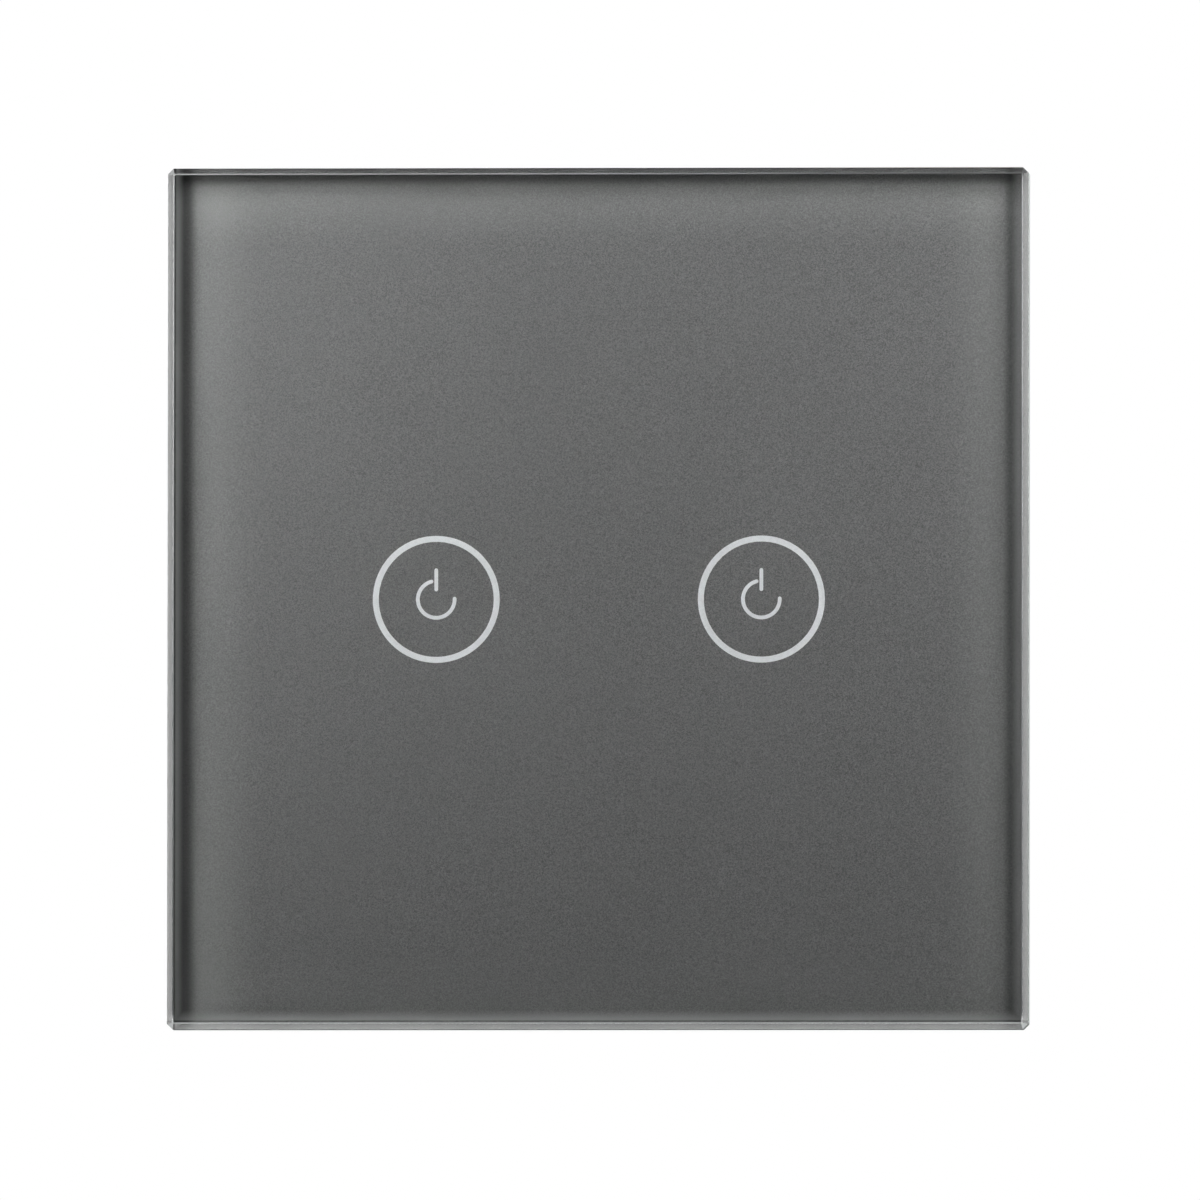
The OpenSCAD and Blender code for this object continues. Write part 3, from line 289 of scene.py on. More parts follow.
def new_group(name, inputs, outputs):
    """An empty shader group with named sockets, and its two end nodes."""
    group = bpy.data.node_groups.new(name, "ShaderNodeTree")
    for label, value in inputs.items():
        socket = group.interface.new_socket(label, in_out="INPUT", socket_type=FLOAT)
        socket.default_value = value
    for label, kind in outputs.items():
        group.interface.new_socket(label, in_out="OUTPUT", socket_type=kind)
    return group, group.nodes.new("NodeGroupInput").outputs, group.nodes.new("NodeGroupOutput")


def position(tree):
    """Where a point lies on the piece, in metres."""
    return add(tree, "ShaderNodeTexCoord").outputs["Object"]


def noise(tree, where, scale, detail=2.0):
    """A soft random value round 0.5."""
    inputs = {"Vector": where, "Scale": scale, "Detail": detail}
    return add(tree, "ShaderNodeTexNoise", inputs).outputs["Fac"]


def make_moulded_grain():
    outputs = {"Height": FLOAT, "Mottle": FLOAT}
    group, given, result = new_group("moulded grain", {"Grain": 6000.0, "Patch": 140.0}, outputs)
    where = position(group)
    fine = noise(group, where, given["Grain"])
    broad = noise(group, where, given["Patch"], 4.0)
    feed(group, result, Height=fine, Mottle=remap(group, broad, 0.3, 0.7, 0.0, 1.0))
    return group


def make_edge_wear():
    inputs = {"Radius": 0.3 * MM, "Breaks": 900.0}
    group, given, result = new_group("edge wear", inputs, {"Wear": FLOAT})
    rounded = add(group, "ShaderNodeBevel", {"Radius": given["Radius"]}, samples=4)
    true = add(group, "ShaderNodeNewGeometry")
    ends = {0: rounded.outputs[0], 1: true.outputs["Normal"]}
    agree = add(group, "ShaderNodeVectorMath", ends, operation="DOT_PRODUCT").outputs["Value"]
    edge = remap(group, agree, 0.98, 0.86, 0.0, 1.0)
    patches = noise(group, position(group), given["Breaks"], 3.0)
    broken = remap(group, patches, 0.38, 0.62, 0.25, 1.0)
    feed(group, result, Wear=calculate(group, "MULTIPLY", edge, broken))
    return group


def make_settled_dust():
    inputs = {"Speck": 1500.0, "Amount": 0.3}
    group, given, result = new_group("settled dust", inputs, {"Dust": FLOAT})
    normal = add(group, "ShaderNodeNewGeometry").outputs["Normal"]
    up = add(group, "ShaderNodeSeparateXYZ", {0: normal}).outputs["Z"]
    facing = remap(group, up, 0.1, 0.9, 0.25, 1.0)
    grains = noise(group, position(group), given["Speck"], 5.0)
    specks = remap(group, grains, 0.52, 0.75, 0.0, 1.0)
    film = calculate(group, "MULTIPLY", facing, specks)
    feed(group, result, Dust=calculate(group, "MULTIPLY", film, given["Amount"]))
    return group


def make_rolled_lines():
    outputs = {"Height": FLOAT, "Streak": FLOAT}
    group, given, result = new_group("rolled lines", {"Lines": 2500.0, "Stretch": 0.03}, outputs)
    squeeze = add(group, "ShaderNodeCombineXYZ", {"X": given["Stretch"], "Y": 1.0, "Z": 1.0})
    ends = {0: position(group), 1: squeeze.outputs[0]}
    where = add(group, "ShaderNodeVectorMath", ends, operation="MULTIPLY").outputs[0]
    fine = noise(group, where, given["Lines"], 3.0)
    broad = noise(group, position(group), 90.0, 3.0)
    both = calculate(group, "ADD", fine, broad)
    feed(group, result, Height=fine, Streak=remap(group, both, 0.7, 1.3, 0.0, 1.0))
    return group


def make_metal_flake():
    outputs = {"Tone": FLOAT, "Tilt": VECTOR}
    group, given, result = new_group("metal flake", {"Flakes": 7000.0, "Spread": 0.2}, outputs)
    flakes = {"Vector": position(group), "Scale": given["Flakes"]}
    random = add(group, "ShaderNodeTexVoronoi", flakes).outputs["Color"]

    def vector(operation, inputs):
        return add(group, "ShaderNodeVectorMath", inputs, operation=operation).outputs[0]

    centred = vector("ADD", {0: random, 1: (-0.5, -0.5, -0.5)})
    tilt = vector("SCALE", {0: centred, 3: given["Spread"]})
    upright = add(group, "ShaderNodeNewGeometry").outputs["Normal"]
    leaning = vector("NORMALIZE", {0: vector("ADD", {0: upright, 1: tilt})})
    tone = add(group, "ShaderNodeSeparateColor", {0: random}).outputs["Red"]
    feed(group, result, Tone=tone, Tilt=leaning)
    return group


moulded_grain = make_moulded_grain()
edge_wear = make_edge_wear()
settled_dust = make_settled_dust()
rolled_lines = make_rolled_lines()
metal_flake = make_metal_flake()
print("surface effects:", [group.name for group in bpy.data.node_groups])

# %% [markdown]
# ## Finishes
# A finish is a material with one shader. These helpers start one, place an effect in it with
# values of its own, and give it a fine relief.

# %% Start a finish
finishes = {}


def new_finish(name, **plain):
    """Starts and keeps a finish with these plain values, with spaces for underscores."""
    material = bpy.data.materials.new(name)
    material.use_nodes = True
    finishes[name] = material
    shader = material.node_tree.nodes["Principled BSDF"]
    for key, value in plain.items():
        shader.inputs[key.replace("_", " ")].default_value = value
    return material.node_tree, shader


def place(tree, group, **values):
    """Places an effect in a finish and gives back its outputs."""
    node = add(tree, "ShaderNodeGroup", node_tree=group)
    for key, value in values.items():
        node.inputs[key].default_value = value
    return node.outputs


def raise_surface(tree, shader, height, depth):
    """Bump of a real depth in metres."""
    bump = add(tree, "ShaderNodeBump", {"Height": height, "Strength": 1.0, "Distance": depth})
    feed(tree, shader, Normal=bump.outputs[0])


print("finish helpers ready")

# %% [markdown]
# The glass is float glass: clear, and polished on its face and its bevels. Its sides are ground
# and matt, so hardly any light comes in there. The narrow seam between face and bevel is honed
# and catches the light as a thin line. Along the lower edge its colour is painted pale, a painted
# highlight, and along the upper edge it is painted darker towards the right, a painted shade.
# Three materials on one mesh keep these apart.

# %% Glass finishes
GLASS_INDEX = 1.5
GRIT = 9000.0
SEAM_FROM = 1.5 * MM
SEAM_AT = MM
DIMMING_OVER = 30 * MM
DIMMEST = 0.85


def clear_glass():
    tint = (0.97, 0.99, 0.98, 1.0)
    plain = {"Roughness": 0.0, "IOR": GLASS_INDEX, "Transmission_Weight": 1.0, "Base_Color": tint}
    new_finish("clear_glass", **plain)


def ground_edge():
    tree, shader = new_finish("ground_edge", Roughness=0.7, Specular_IOR_Level=0.15)
    grit = noise(tree, position(tree), GRIT, 3.0)
    tone = mix_colours(tree, grit, (0.12, 0.14, 0.13), (0.17, 0.19, 0.18))
    feed(tree, shader, Base_Color=tone)


def seam_painted_highlight():
    tree, shader = new_finish("seam_painted_highlight", Roughness=0.5)
    grit = noise(tree, position(tree), GRIT, 3.0)
    along = add(tree, "ShaderNodeSeparateXYZ", {0: position(tree)}).outputs
    # Painted highlight: the seam is painted pale along the lower edge. Painted shade: along the
    # upper edge it is painted darker towards the right.
    lower = remap(tree, along["Z"], cad_low.z + SEAM_FROM, cad_low.z + SEAM_AT, 0.0, 1.0)
    upper = remap(tree, along["Z"], cad_high.z - SEAM_FROM, cad_high.z - SEAM_AT, 0.0, 1.0)
    dimming_to_right = remap(tree, along["X"], 0.0, DIMMING_OVER, 0.0, DIMMEST)
    upper_painted_shade = calculate(tree, "MULTIPLY", upper, dimming_to_right)
    fine = mix_colours(tree, grit, (0.065, 0.068, 0.068), (0.085, 0.088, 0.088))
    fine = mix_colours(tree, upper_painted_shade, fine, (0.005, 0.005, 0.005))
    painted_highlight_tone = mix_colours(tree, grit, (0.38, 0.39, 0.39), (0.46, 0.47, 0.47))
    feed(tree, shader, Base_Color=mix_colours(tree, lower, fine, painted_highlight_tone))


clear_glass()
ground_edge()
seam_painted_highlight()
print("glass finishes:", list(finishes))

# %% [markdown]
# The coat behind the glass is a grey paint with fine metal flake. Each flake leans its own way,
# so the paint sparkles a little and its tone varies from flake to flake. Its colour also holds
# painted light and shade by the border: a dark band of painted shade just inside the left, right
# and upper border, a paler painted light a few mm in from every side, and a pale painted glow at
# the very edge of the left, right and lower border, with a thin painted dark line outside it.
# The symbols are printed in a pale silver ink before the coat goes on.

# %% Coat and print
# Painted shade: the share of the coat's tone kept in the dark bands inside the left, right and
# upper border.
LEFT_PAINTED_SHADE = 0.42
RIGHT_PAINTED_SHADE = 0.62
TOP_PAINTED_SHADE = 0.38
# Painted light: the pale tone of the coat near the border, in its paler rise and its edge glow.
PAINTED_LIGHT_TONE = (0.42, 0.42, 0.42)
# Painted shade: the dark tone those bands fade to.
PAINTED_SHADE_TONE = (0.01, 0.01, 0.01)


def border_painted_light_and_shade(tree):
    """The coat's painted light and shade by the border: its paler painted light a little way in,
    its dark bands of painted shade, and its pale painted glow at the edge.
    """
    along = add(tree, "ShaderNodeSeparateXYZ", {0: position(tree)}).outputs
    half = cad_high.x
    from_left = calculate(tree, "ADD", along["X"], half)
    from_right = calculate(tree, "SUBTRACT", half, along["X"])
    from_top = calculate(tree, "SUBTRACT", half, along["Z"])
    from_foot = calculate(tree, "ADD", along["Z"], half)

    def ramp(distance, start, end, low, high, shape="SMOOTHSTEP"):
        return remap(tree, distance, start * MM, end * MM, low, high, shape)

    def joined(operation, first, *others):
        for other in others:
            first = calculate(tree, operation, first, other)
        return first

    # Painted shade: dark bands a little inside the left, right and upper border.
    left_painted_shade = ramp(from_left, 1.8, 2.9, LEFT_PAINTED_SHADE, 1.0)
    right_painted_shade = ramp(from_right, 1.9, 2.7, RIGHT_PAINTED_SHADE, 1.0)
    painted_shade = joined("MULTIPLY", left_painted_shade, right_painted_shade, ramp(from_top, 0.8, 1.9, TOP_PAINTED_SHADE, 1.0))
    # Painted light: the coat grows paler a few mm in from every side, more so towards the foot on
    # the left.
    towards_foot = ramp(from_foot, 0, 40, 1.9, 1.0)
    left_painted_light = joined("MULTIPLY", ramp(from_left, 10, 3, 0.0, 0.2), towards_foot)
    right_painted_light = ramp(from_right, 9, 3, 0.0, 0.22)
    low_painted_light = ramp(from_foot, 9, 2.5, 0.0, 0.05)
    rise = joined("ADD", left_painted_light, right_painted_light, low_painted_light, ramp(from_top, 8, 2.5, 0.0, 0.2))
    # Painted light: a pale glow at the very edge of the left, right and lower border. The two
    # lines below cut it off right at the edge, which leaves a thin painted dark line there.
    left_painted_glow = ramp(from_left, 1.55, 0.7, 0.0, 1.0)
    right_painted_glow = ramp(from_right, 1.9, 0.9, 0.0, 0.75)
    thick = joined("MAXIMUM", left_painted_glow, right_painted_glow, ramp(from_foot, 2.1, 0.8, 0.0, 1.0))
    left_painted_line = ramp(from_left, 0.60, 0.70, 0.0, 1.0, "LINEAR")
    low_painted_line = ramp(from_foot, 0.90, 1.0, 0.0, 1.0, "LINEAR")
    return rise, painted_shade, joined("MULTIPLY", thick, left_painted_line, low_painted_line)


def grey_coat():
    tree, shader = new_finish("grey_coat", Roughness=0.55, Metallic=0.5)
    flake = place(tree, metal_flake, Flakes=12500.0, Spread=0.2)
    cloud = calculate(tree, "MULTIPLY", noise(tree, position(tree), 600.0, 4.0), 0.5)
    deep, bright = (0.11, 0.109, 0.1095), (0.26, 0.2575, 0.259)
    flecked = mix_colours(tree, flake["Tone"], deep, bright)
    clouded = mix_colours(tree, cloud, flecked, (0.185, 0.183, 0.184))
    # The next lines paint light and shade into the coat's colour by the border: a paler tone and a
    # pale edge glow as painted light, and dark bands as painted shade.
    rise, painted_shade, thick = border_painted_light_and_shade(tree)
    painted_lit = mix_colours(tree, rise, clouded, PAINTED_LIGHT_TONE)
    painted_lit_and_shaded = mix_colours(tree, painted_shade, PAINTED_SHADE_TONE, painted_lit)
    painted_lit_and_shaded = mix_colours(tree, thick, painted_lit_and_shaded, PAINTED_LIGHT_TONE)
    feed(tree, shader, Base_Color=painted_lit_and_shaded, Normal=flake["Tilt"])


def symbol_print():
    tree, shader = new_finish("symbol_print", Roughness=0.5, Metallic=0.0)
    flake = place(tree, metal_flake, Flakes=5000.0, Spread=0.1)
    ink = mix_colours(tree, flake["Tone"], (0.83, 0.84, 0.86), (0.90, 0.91, 0.93))
    feed(tree, shader, Base_Color=ink)


grey_coat()
symbol_print()
print("with coat and print:", len(finishes))

# %% [markdown]
# Moulded plastic copies the fine spark-eroded grain of its mould. Its tone drifts a little, its
# edges wear paler and dust settles on what faces up. One function makes every plastic on
# the switch, from the charcoal carrier to the pale housing and the coloured cases inside.

# %% Plastics
GRAIN_DEPTH = 0.01 * MM
DUST_TONE = (0.55, 0.54, 0.52)
TONE_DRIFT = 0.95
ROUGH_DRIFT = 0.05
PLASTIC_WEAR = 0.45


def moulded_plastic(name, body, worn, roughness):
    tree, shader = new_finish(name)
    surface = place(tree, moulded_grain, Grain=5000.0, Patch=160.0)
    wear = place(tree, edge_wear, Radius=0.25 * MM)["Wear"]
    film = place(tree, settled_dust, Speck=4000.0, Amount=0.04)["Dust"]
    deeper = [channel * TONE_DRIFT for channel in body]
    tone = mix_colours(tree, surface["Mottle"], body, deeper)
    tone = mix_colours(tree, calculate(tree, "MULTIPLY", wear, PLASTIC_WEAR), tone, worn)
    tone = mix_colours(tree, film, tone, DUST_TONE)
    spread = (roughness - ROUGH_DRIFT, roughness + ROUGH_DRIFT)
    rough = remap(tree, surface["Mottle"], 0.0, 1.0, *spread)
    feed(tree, shader, Base_Color=tone, Roughness=rough)
    raise_surface(tree, shader, surface["Height"], GRAIN_DEPTH)


PLASTICS = {
    "charcoal_plastic": ((0.036, 0.037, 0.039), (0.10, 0.10, 0.105), 0.48),
    "white_plastic": ((0.50, 0.497, 0.48), (0.62, 0.617, 0.60), 0.42),
    "black_moulding": ((0.022, 0.022, 0.024), (0.07, 0.07, 0.075), 0.44),
    "bobbin_plastic": ((0.08, 0.075, 0.07), (0.16, 0.15, 0.14), 0.45),
    "relay_case": ((0.035, 0.085, 0.26), (0.12, 0.2, 0.42), 0.36),
    "yellow_case": ((0.62, 0.44, 0.07), (0.74, 0.6, 0.22), 0.4),
    "brown_body": ((0.14, 0.07, 0.035), (0.26, 0.16, 0.1), 0.4),
    "blue_resin": ((0.03, 0.09, 0.3), (0.1, 0.2, 0.45), 0.3),
    "dark_sleeve": ((0.03, 0.032, 0.05), (0.09, 0.09, 0.12), 0.28),
}
for name, (body, worn, roughness) in PLASTICS.items():
    moulded_plastic(name, body, worn, roughness)
print("plastics:", len(PLASTICS))

# %% [markdown]
# The tape that holds the glass is closed-cell foam, matt and full of pores. The light guides are
# milky acrylic, which lets light through and spreads it.

# %% Foam and acrylic
PORE_DEPTH = 0.04 * MM


def black_tape():
    tree, shader = new_finish("black_tape", Roughness=0.85)
    cells = add(tree, "ShaderNodeTexVoronoi", {"Vector": position(tree), "Scale": 5000.0})
    pores = cells.outputs["Distance"]
    tone = mix_colours(tree, pores, (0.012, 0.012, 0.012), (0.04, 0.04, 0.041))
    feed(tree, shader, Base_Color=tone)
    raise_surface(tree, shader, pores, PORE_DEPTH)


def light_guide():
    tree, shader = new_finish("light_guide", Transmission_Weight=0.55, IOR=1.49)
    milk = noise(tree, position(tree), 700.0, 3.0)
    tone = mix_colours(tree, milk, (0.82, 0.86, 0.88), (0.93, 0.95, 0.96))
    feed(tree, shader, Base_Color=tone, Roughness=remap(tree, milk, 0.3, 0.7, 0.28, 0.42))


def led_lens():
    tree, shader = new_finish("led_lens", Roughness=0.25)
    spots = noise(tree, position(tree), 2600.0, 3.0)
    tone = mix_colours(tree, spots, (0.85, 0.78, 0.42), (0.92, 0.9, 0.8))
    feed(tree, shader, Base_Color=tone)


black_tape()
light_guide()
led_lens()
print("with foam and acrylic:", len(finishes))

# %% [markdown]
# Sheet and turned metal show the lines that rolling or turning left, with patches where the
# plating is duller. One function makes them all: plated steel, brass, spring bronze and iron.

# %% Metals
ROLLED_DEPTH = 0.004 * MM
RUBBED_BRIGHT = 1.2
METAL_WEAR = 0.5


def worked_metal(name, bright, dull, low_rough, high_rough):
    tree, shader = new_finish(name, Metallic=1.0)
    rolled = place(tree, rolled_lines)
    wear = place(tree, edge_wear, Radius=0.2 * MM)["Wear"]
    tone = mix_colours(tree, rolled["Streak"], bright, dull)
    lighter = [min(1.0, channel * RUBBED_BRIGHT) for channel in bright]
    tone = mix_colours(tree, calculate(tree, "MULTIPLY", wear, METAL_WEAR), tone, lighter)
    rough = remap(tree, rolled["Streak"], 0.0, 1.0, low_rough, high_rough)
    feed(tree, shader, Base_Color=tone, Roughness=rough)
    raise_surface(tree, shader, rolled["Height"], ROLLED_DEPTH)


METALS = {
    "zinc_steel": ((0.66, 0.68, 0.7), (0.5, 0.52, 0.55), 0.3, 0.46),
    "screw_steel": ((0.6, 0.6, 0.6), (0.42, 0.42, 0.43), 0.26, 0.42),
    "spring_bronze": ((0.8, 0.66, 0.42), (0.6, 0.47, 0.28), 0.25, 0.4),
    "brass": ((0.82, 0.62, 0.28), (0.6, 0.42, 0.17), 0.24, 0.42),
    "soft_iron": ((0.46, 0.46, 0.46), (0.32, 0.32, 0.33), 0.38, 0.55),
    "copper_winding": ((0.74, 0.34, 0.18), (0.5, 0.2, 0.1), 0.3, 0.45),
}
for name, (bright, dull, low_rough, high_rough) in METALS.items():
    worked_metal(name, bright, dull, low_rough, high_rough)
print("metals:", len(METALS))

# %% [markdown]
# The boards are glass cloth under green lacquer. Where copper lies below, the lacquer looks
# paler. Where it is etched away, it looks dark. The cloth's weave shows faintly in both. So
# one function makes both finishes, and the tracks themselves are cut out as shapes further down.

# %% Circuit board
WEAVE_DEPTH = 0.004 * MM


def lacquered_board(name, deep, pale):
    tree, shader = new_finish(name)
    clouds = place(tree, moulded_grain, Grain=3000.0, Patch=90.0)["Mottle"]
    cloth = {"Vector": position(tree), "Scale": 900.0, "Distortion": 0.6}
    weave = add(tree, "ShaderNodeTexWave", cloth).outputs["Fac"]
    woven = mix_colours(tree, weave, deep, pale)
    tone = mix_colours(tree, calculate(tree, "MULTIPLY", clouds, 0.5), woven, deep)
    feed(tree, shader, Base_Color=tone, Roughness=remap(tree, clouds, 0.0, 1.0, 0.28, 0.36))
    raise_surface(tree, shader, weave, WEAVE_DEPTH)


BOARDS = {
    "circuit_board": ((0.015, 0.10, 0.047), (0.021, 0.125, 0.06)),
    "etched_gap": ((0.006, 0.045, 0.021), (0.008, 0.055, 0.026)),
}
for name, (deep, pale) in BOARDS.items():
    lacquered_board(name, deep, pale)
print("finishes:", len(finishes))

# %% [markdown]
# ## Soft edges on the CAD pieces
# A solid from the CAD has knife-sharp edges, and nothing real has. Modifiers leave its mesh as it
# is and round what is seen: corners are joined, flat faces are made whole, and every sharp edge
# gets a small round. A face with a wide window in it, as on the carrier, stays in its triangles,
# because the window would be lost. Thin plates and pins take a smaller round. What is drawn anew
# further down stays sharp, and so do the thin layers behind the glass and the relay irons, on
# whose edges the armatures rock.

# %% Dress the CAD pieces
SIDES = ("left", "right")
TERMINALS = (1, 2, 3)
SAME_SPOT = 0.001 * MM
SOFTEN = 0.12 * MM
SOFT_EDGES = {
    0.25 * MM: ("panel_carrier",),
    0.2 * MM: ("front_cover",),
    0.08 * MM: ("mounting_yoke", "relay_armature_left", "relay_armature_right"),
    0.06 * MM: ("touch_board", "power_board", "header_socket"),
    0.05 * MM: ("header_pins", "ring_leds"),
}
WITH_WINDOWS = {"panel_carrier", *[f"clamp_cage_{i}" for i in TERMINALS]}
LEFT_SHARP = {
    "glass_panel", "colour_coat", "touch_symbols", "adhesive_frame",
    "reservoir_capacitor", "varistor", "fuse", "touch_controller",
}
for kind in ("touch_spring", "relay_coil", "relay_iron"):
    LEFT_SHARP.update(f"{kind}_{side}" for side in SIDES)
FLAT_ANGLE = math.radians(0.5)
SHARP_ANGLE = math.radians(40)


def soften(piece, width, whole_faces):
    weld = piece.modifiers.new("joined corners", "WELD")
    weld.merge_threshold = SAME_SPOT
    if whole_faces:
        flat = piece.modifiers.new("whole faces", "DECIMATE")
        flat.decimate_type = "DISSOLVE"
        flat.angle_limit = FLAT_ANGLE
    soft = piece.modifiers.new("soft edges", "BEVEL")
    soft.width = width
    soft.segments = 2
    soft.limit_method = "ANGLE"
    soft.angle_limit = SHARP_ANGLE
    soft.use_clamp_overlap = False
    soft.miter_outer = "MITER_ARC"
    shade = piece.modifiers.new("even shading", "WEIGHTED_NORMAL")
    shade.keep_sharp = True


def dress(name, finish):
    mesh = nodes[name].data
    mesh.materials.clear()
    mesh.materials.append(finishes[finish])


widths = {name: width for width, names in SOFT_EDGES.items() for name in names}
slots = {part["node"]: part["material_slot"] for part in frame["record"]["subparts"]}
for name, slot in slots.items():
    dress(name, slot)
    if name not in LEFT_SHARP:
        soften(nodes[name], widths.get(name, SOFTEN), name not in WITH_WINDOWS)
print("dressed:", len(slots))

# %% [markdown]
# ## Glass panel
# The glass is a square plate with a 45 degree bevel round its front and its four upright corners
# cut off. Light only bends truly at a round seam, so the sharp line round the front face gets a
# hair of rounding. That seam and the small corner cuts of the bevel are honed. The plate reaches
# a hair past the coat's front face: paint is bonded to glass, with no air between them.

# %% Glass panel
BEVEL = 0.6 * MM
CORNER_CUT = 0.55 * MM
INNER_CUT = 0.08 * MM
BACK_ARRIS = 0.12 * MM
BOND = 0.02 * MM
SEAM = 0.08 * MM
LEAN = 0.3
POLISHED, GROUND, HONED = range(3)


def cut_box(half, low, high, cut):
    """Corners of a rectangle whose four corners are cut off, as (x, z) pairs."""
    near = half - cut
    return [
        (-near, low), (near, low), (half, low + cut), (half, high - cut),
        (near, high), (-near, high), (-half, high - cut), (-half, low + cut),
    ]


def add_piece(name, shape, node, body, *looks):
    """A piece that rides on a body, in place of a CAD node if one is named.
    """
    mesh = bpy.data.meshes.new(name)
    shape.to_mesh(mesh)
    shape.free()
    for look in looks:
        mesh.materials.append(finishes[look])
    piece = bpy.data.objects.new(name, mesh)
    bpy.context.scene.collection.objects.link(piece)
    if node:
        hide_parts(node)
    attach(piece, body)
    return piece


def loft(shape, rings, looped=False):
    """Skins a stack of rings of points, and closes its two ends or joins them."""
    rows = [[shape.verts.new(point) for point in ring] for ring in rings]
    count = len(rows[0])
    following = rows[1:] + rows[:1] if looped else rows[1:]
    for low, high in zip(rows, following):
        for i in range(count):
            j = (i + 1) % count
            shape.faces.new((low[i], low[j], high[j], high[i]))
    if not looped:
        shape.faces.new(list(reversed(rows[0])))
        shape.faces.new(rows[-1])
    bmesh.ops.recalc_face_normals(shape, faces=shape.faces)


def make_glass():
    low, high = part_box("glass_panel")
    half = (high.x - low.x) / 2
    steps = [
        (half - BACK_ARRIS, CORNER_CUT, high.y + BOND),
        (half, CORNER_CUT, high.y + BOND - BACK_ARRIS),
        (half, CORNER_CUT, low.y + BEVEL),
        (half - BEVEL, INNER_CUT, low.y),
    ]
    rings = []
    for side, cut, y in steps:
        rings.append([(x, y, z) for x, z in cut_box(side, -side, side, cut)])
    shape = bmesh.new()
    loft(shape, rings)
    seams = [e for e in shape.edges if max(v.co.y for v in e.verts) < low.y + BOND]
    rounding = {"offset": SEAM, "segments": 3, "profile": 0.5, "affect": "EDGES"}
    strips = set(bmesh.ops.bevel(shape, geom=seams, **rounding)["faces"])
    for face in shape.faces:
        middle = face.calc_center_median().y
        upright = abs(face.normal.y) < LEAN
        face.material_index = GROUND if upright and middle > low.y + BEVEL else POLISHED
        face.smooth = face in strips
        corner = min(abs(face.normal.x), abs(face.normal.z)) > LEAN and middle < low.y + BEVEL
        if corner or face.smooth:
            face.material_index = HONED
    looks = ("clear_glass", "ground_edge", "seam_painted_highlight")
    return add_piece("glass_plate", shape, "glass_panel", "front_panel", *looks)


glass = make_glass()
print("glass faces:", len(glass.data.polygons))

# %% [markdown]
# ## Touch springs
# Each spring is one wire wound in a short cone from the board to the coat. A curve with a round
# section follows the same cone as the solid, with many more points, and becomes a mesh.

# %% Touch springs
SPRING_WIRE = 0.45 * MM
SPRING_TURNS = 2.5
SPRING_TAPER = 1.2 * MM
STEPS_PER_TURN = 48
WIRE_ROUNDNESS = 6


def round_wire(shape, path, thickness):
    """Adds a wire with a round section and flat ends along a path."""
    curve = bpy.data.curves.new("wire", "CURVE")
    curve.dimensions = "3D"
    curve.bevel_depth = thickness / 2
    curve.bevel_resolution = WIRE_ROUNDNESS
    curve.use_fill_caps = True
    spline = curve.splines.new("POLY")
    spline.points.add(len(path) - 1)
    for point, spot in zip(spline.points, path):
        point.co = (*spot, 1.0)
    spline.use_smooth = True
    drawn = bpy.data.objects.new("wire", curve)
    bpy.context.scene.collection.objects.link(drawn)
    solid = drawn.evaluated_get(bpy.context.evaluated_depsgraph_get())
    mesh = bpy.data.meshes.new_from_object(solid)
    bpy.data.objects.remove(drawn)
    bpy.data.curves.remove(curve)
    shape.from_mesh(mesh)
    bpy.data.meshes.remove(mesh)
    bmesh.ops.remove_doubles(shape, verts=shape.verts, dist=SAME_SPOT)
    for face in shape.faces:
        if len(face.verts) > 4:
            face.smooth = False


def ring_point(middle, radius, angle, y):
    """A point at an angle round a line that runs from front to back."""
    return (middle.x + radius * math.cos(angle), y, middle.z + radius * math.sin(angle))


def make_spring(side):
    node = f"touch_spring_{side}"
    low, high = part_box(node)
    middle = sum(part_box(f"light_guide_{side}"), Vector()) / 2
    base = max(high.x - middle.x, middle.x - low.x) - SPRING_WIRE / 2
    foot = high.y - SPRING_WIRE
    rise = high.y - low.y - 2 * SPRING_WIRE
    steps = round(SPRING_TURNS * STEPS_PER_TURN)
    path = [(middle.x + base, high.y, middle.z)]
    for i in range(steps + 1):
        share = i / steps
        angle = 2 * math.pi * SPRING_TURNS * share
        path.append(ring_point(middle, base - SPRING_TAPER * share, angle, foot - rise * share))
    path.append((path[-1][0], low.y, path[-1][2]))
    shape = bmesh.new()
    round_wire(shape, path, SPRING_WIRE)
    return add_piece(f"sprung_wire_{side}", shape, node, "switch_body", "spring_bronze")


for side in SIDES:
    print("spring", side, "faces:", len(make_spring(side).data.polygons))

# %% [markdown]
# ## Foam tape
# A frame of foam tape holds the glass on its carrier. Pressed between the two, its sides bulge a
# little and its edges are round. Each point of its cross-section is carried round a rounded
# square, set in from the outer edge as far as the point is, and neighbouring squares are joined.

# %% Foam tape
TAPE_WIDTH = 6 * MM
TAPE_CORNER = 1.5 * MM
TAPE_ROUND = 0.15 * MM
CORNER_STEPS = 10
ROUND_STEPS = 4


def round_box(left, right, low, high, radius, steps):
    """Points round a rectangle with round corners, as pairs."""
    left, right, low, high = left + radius, right - radius, low + radius, high - radius
    points = []
    for quarter, (x, y) in enumerate([(right, high), (left, high), (left, low), (right, low)]):
        for i in range(steps + 1):
            angle = (quarter + i / steps) * math.pi / 2
            points.append((x + radius * math.cos(angle), y + radius * math.sin(angle)))
    return points


def make_tape():
    low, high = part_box("adhesive_frame")
    half = (high.x - low.x) / 2
    rings = []
    for inset, y in round_box(0, TAPE_WIDTH, low.y, high.y, TAPE_ROUND, ROUND_STEPS):
        side = half - inset
        edge = round_box(-side, side, -side, side, TAPE_CORNER, CORNER_STEPS)
        rings.append([(x, y, z) for x, z in edge])
    shape = bmesh.new()
    loft(shape, rings, looped=True)
    for face in shape.faces:
        face.smooth = True
    return add_piece("foam_tape", shape, "adhesive_frame", "front_panel", "black_tape")


print("tape faces:", len(make_tape().data.polygons))

